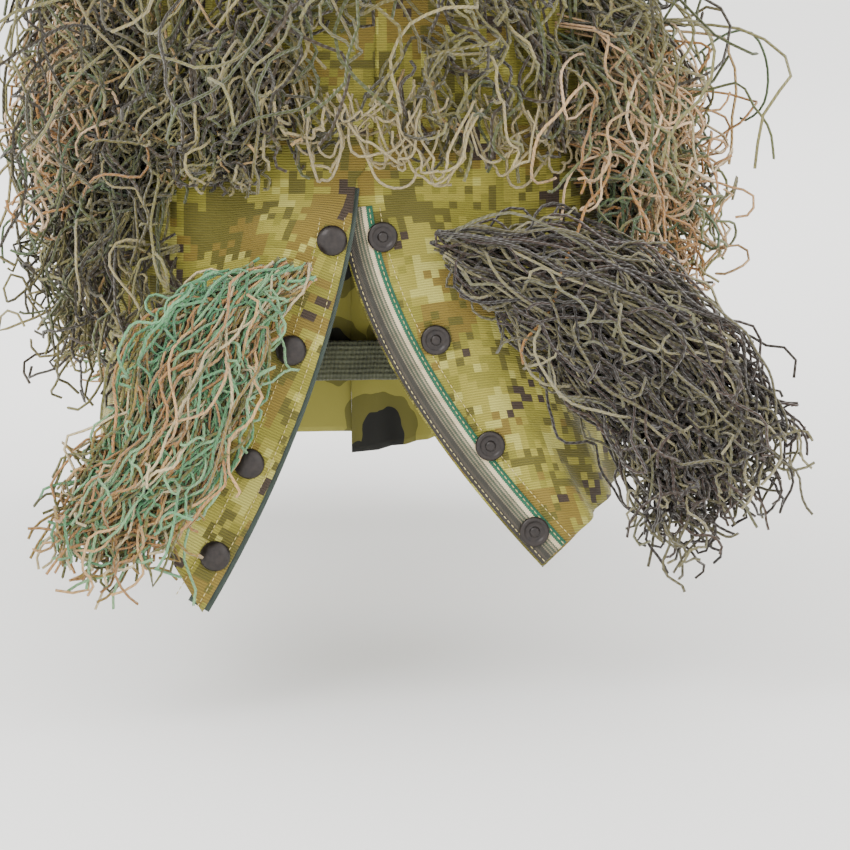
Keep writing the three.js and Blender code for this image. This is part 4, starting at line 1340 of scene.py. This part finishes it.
def body_knots(begin, end):
    def place(rng, locks):
        height = rng.uniform(0.815, 1.465, locks)
        degrees = rng.uniform(begin, end, locks)
        points = jacket_point(height, degrees, 0.003)
        free = sleeve_distance(points)[0] > 0.0
        points, degrees = points[free], degrees[free]
        filler = rng.integers(0, len(points), locks - len(points))
        beside = points[filler] + rng.normal(0, 0.004, (len(filler), 3))
        points, degrees = np.concatenate([points, beside]), np.concatenate([degrees, degrees[filler]])
        angle = np.radians(degrees)
        return points, unit(np.stack([np.cos(angle), np.sin(angle), 0.25 + 0 * angle], -1))
    return place


def sleeve_knots(side):
    def place(rng, locks):
        u = 0.04 + 0.89 * rng.uniform(0, 1, locks)[:, None] ** 1.25
        v = rng.uniform(0, 1, locks)
        surface = sleeve_surface(1, 0, 1, 0.003, 0.0)
        points = np.stack([surface(u[k:k + 1], v[k:k + 1][:, None])[0, 0] for k in range(locks)])
        outward = sleeve_distance(points)[1]
        return mirrored(points, side), mirrored(outward, side)
    return place


for name, place, locks, each, seed in (
        ("jacket_front_strands", body_knots(-182, 2), 272, 8, 61),
        ("jacket_back_strands", body_knots(-2, 182), 272, 8, 62),
        ("left_sleeve_strands", sleeve_knots(1), 208, 8, 63),
        ("right_sleeve_strands", sleeve_knots(-1), 208, 8, 64)):
    rng = np.random.default_rng(seed)
    knots, outward, lock = knot_rows(rng, locks, each, place)
    reach = np.clip(knots[:, 2] + WAIST - 0.66, 0.06, 0.23)
    strands = hang(rng, knots, outward, lock, rng.uniform(0.6, 1.0, len(lock)) * reach, 11,
                   keep_off_jacket, curl=0.6, depth=(0.003, 0.024))
    piece = wind(name, strands, lock_tints(rng, lock), JACKET_YARN, JACKET_RADIUS)
    if name == "jacket_front_strands":
        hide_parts("jacket_yarn")
    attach(piece, "root")


# Hood -------------------------------------------------------------------------------------------
# The hood is a deep rounded shell of the printed cloth with an oval face opening, hemmed round a
# cord. Short locks of yarn cover it and fall over the shoulders.

HOOD_MIDDLE, HOOD_HALF = np.array([0, 0.008, 0.608]), np.array([0.124, 0.148, 0.170])
FACE_MIDDLE, FACE_HALF = np.array([0, -0.165, 0.600]), np.array([0.088, 0.120, 0.112])
HOOD_HEM = 0.486
HOOD_LOCKS, HOOD_EACH = 205, 7
NEAR_POLE = math.pi - 0.0001          # just short of the pole, where the rows would close on a point
AROUND = 97


def hood_point(theta, phi, out=0.0):
    """A point on the hood. Theta turns from straight ahead to the back, phi goes round."""
    way = np.stack([np.sin(theta) * np.cos(phi), -np.cos(theta), np.sin(theta) * np.sin(phi)], -1)
    return HOOD_MIDDLE + way * (HOOD_HALF + out)


def in_face(points, margin=0.0):
    return np.linalg.norm((points - FACE_MIDDLE) / (FACE_HALF + margin), axis=-1) < 1


around = np.linspace(0, 2 * math.pi, AROUND)
low, high = np.zeros(AROUND), np.full(AROUND, 2.2)
for _ in range(40):
    middle = (low + high) / 2
    open_there = in_face(hood_point(middle, around))
    low, high = np.where(open_there, middle, low), np.where(open_there, high, middle)
FACE_EDGE = low


def hood_surface(u, v):
    theta = FACE_EDGE[None] + (NEAR_POLE - FACE_EDGE[None]) * u
    points = hood_point(theta, 2 * math.pi * v)
    ways = unit(points - HOOD_MIDDLE)
    points = points + ways * (0.0030 * wavy(points, (0.06, 0.06, 0.06), 6.1) * np.sin(math.pi * u))[..., None]
    points[..., 2] = np.maximum(points[..., 2], HOOD_HEM)
    return points


piece = band("hood_cloth", hood_surface, 64, AROUND, [PRINTED], CLOTH, closed=True,
             cut=lambda middles: middles[:, 2] < HOOD_HEM + 0.0012,
             lay_flat=lambda p: np.stack([0.13 * np.arctan2(np.abs(p[..., 0]), -p[..., 1]), p[..., 2]], -1))
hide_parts("hood")
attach(piece, "root")


def casing_surface(u, v):
    ring = hood_point(FACE_EDGE[None] + 0 * u, 2 * math.pi * v)
    out = unit(ring - HOOD_MIDDLE)
    inward = unit(FACE_MIDDLE + (ring - FACE_MIDDLE) * np.array([0, 1, 0]) - ring)
    turn = 2 * math.pi * u
    points = ring + 0.0035 * (out * np.cos(turn)[..., None] + inward * np.sin(turn)[..., None])
    points[..., 2] = np.maximum(points[..., 2], HOOD_HEM - 0.004)
    return points


piece = band("hood_casing", casing_surface, 17, AROUND, [PRINTED], 0.0008, flip=True, closed=True)
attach(piece, "root")


def neck_surface(u, v):
    degrees = 360 * v
    collar = jacket_point(JACKET_TOP - 0.004, degrees, -0.0016)
    level = (HOOD_HEM + 0.004 - HOOD_MIDDLE[2]) / HOOD_HALF[2]
    ring = np.stack([np.cos(np.radians(degrees)), np.sin(np.radians(degrees)), level + 0 * degrees], -1)
    ring[..., :2] *= math.sqrt(1 - level ** 2)
    hem = HOOD_MIDDLE + ring * (HOOD_HALF - 0.0022)
    points = collar + (hem - collar) * u[..., None]
    points[..., 2] += 0.0012 * np.sin(math.pi * u) * np.sin(np.radians(degrees) * 26)
    return points


piece = band("neck_seam", neck_surface, 7, 193, [PRINTED], 0.0008, closed=True)
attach(piece, "root")


def keep_off_hood(points, clearance):
    way = (points - HOOD_MIDDLE) / (HOOD_HALF + clearance[:, None])
    radius = np.linalg.norm(way, axis=1)
    scale = np.where((radius < 1) & (points[:, 2] > HOOD_HEM - 0.03), 1 / np.maximum(radius, 0.2), 1)
    points = HOOD_MIDDLE + (points - HOOD_MIDDLE) * scale[:, None]
    return keep_off_jacket(points, clearance)


def hood_knots(rng, locks):
    found = np.zeros((0, 3))
    while len(found) < locks:
        points = HOOD_MIDDLE + unit(rng.normal(0, 1, (locks, 3))) * (HOOD_HALF + 0.003)
        points = points[(points[:, 2] > HOOD_HEM + 0.006) & ~in_face(points, 0.010)]
        found = np.concatenate([found, points])[:locks]
    return found, unit((found - HOOD_MIDDLE) / HOOD_HALF ** 2)


rng = np.random.default_rng(71)
knots, outward, lock = knot_rows(rng, HOOD_LOCKS, HOOD_EACH, hood_knots, 0.005)
strands = hang(rng, knots, outward, lock, rng.uniform(0.07, 0.15, len(lock)), 11, keep_off_hood, curl=0.6)
clear = ~in_face(strands, 0.004).any(1)
tints = lock_tints(rng, lock)
piece = wind("hood_strands", strands[clear], tints[clear], JACKET_YARN, HOOD_RADIUS)
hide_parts("hood_yarn")
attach(piece, "root")
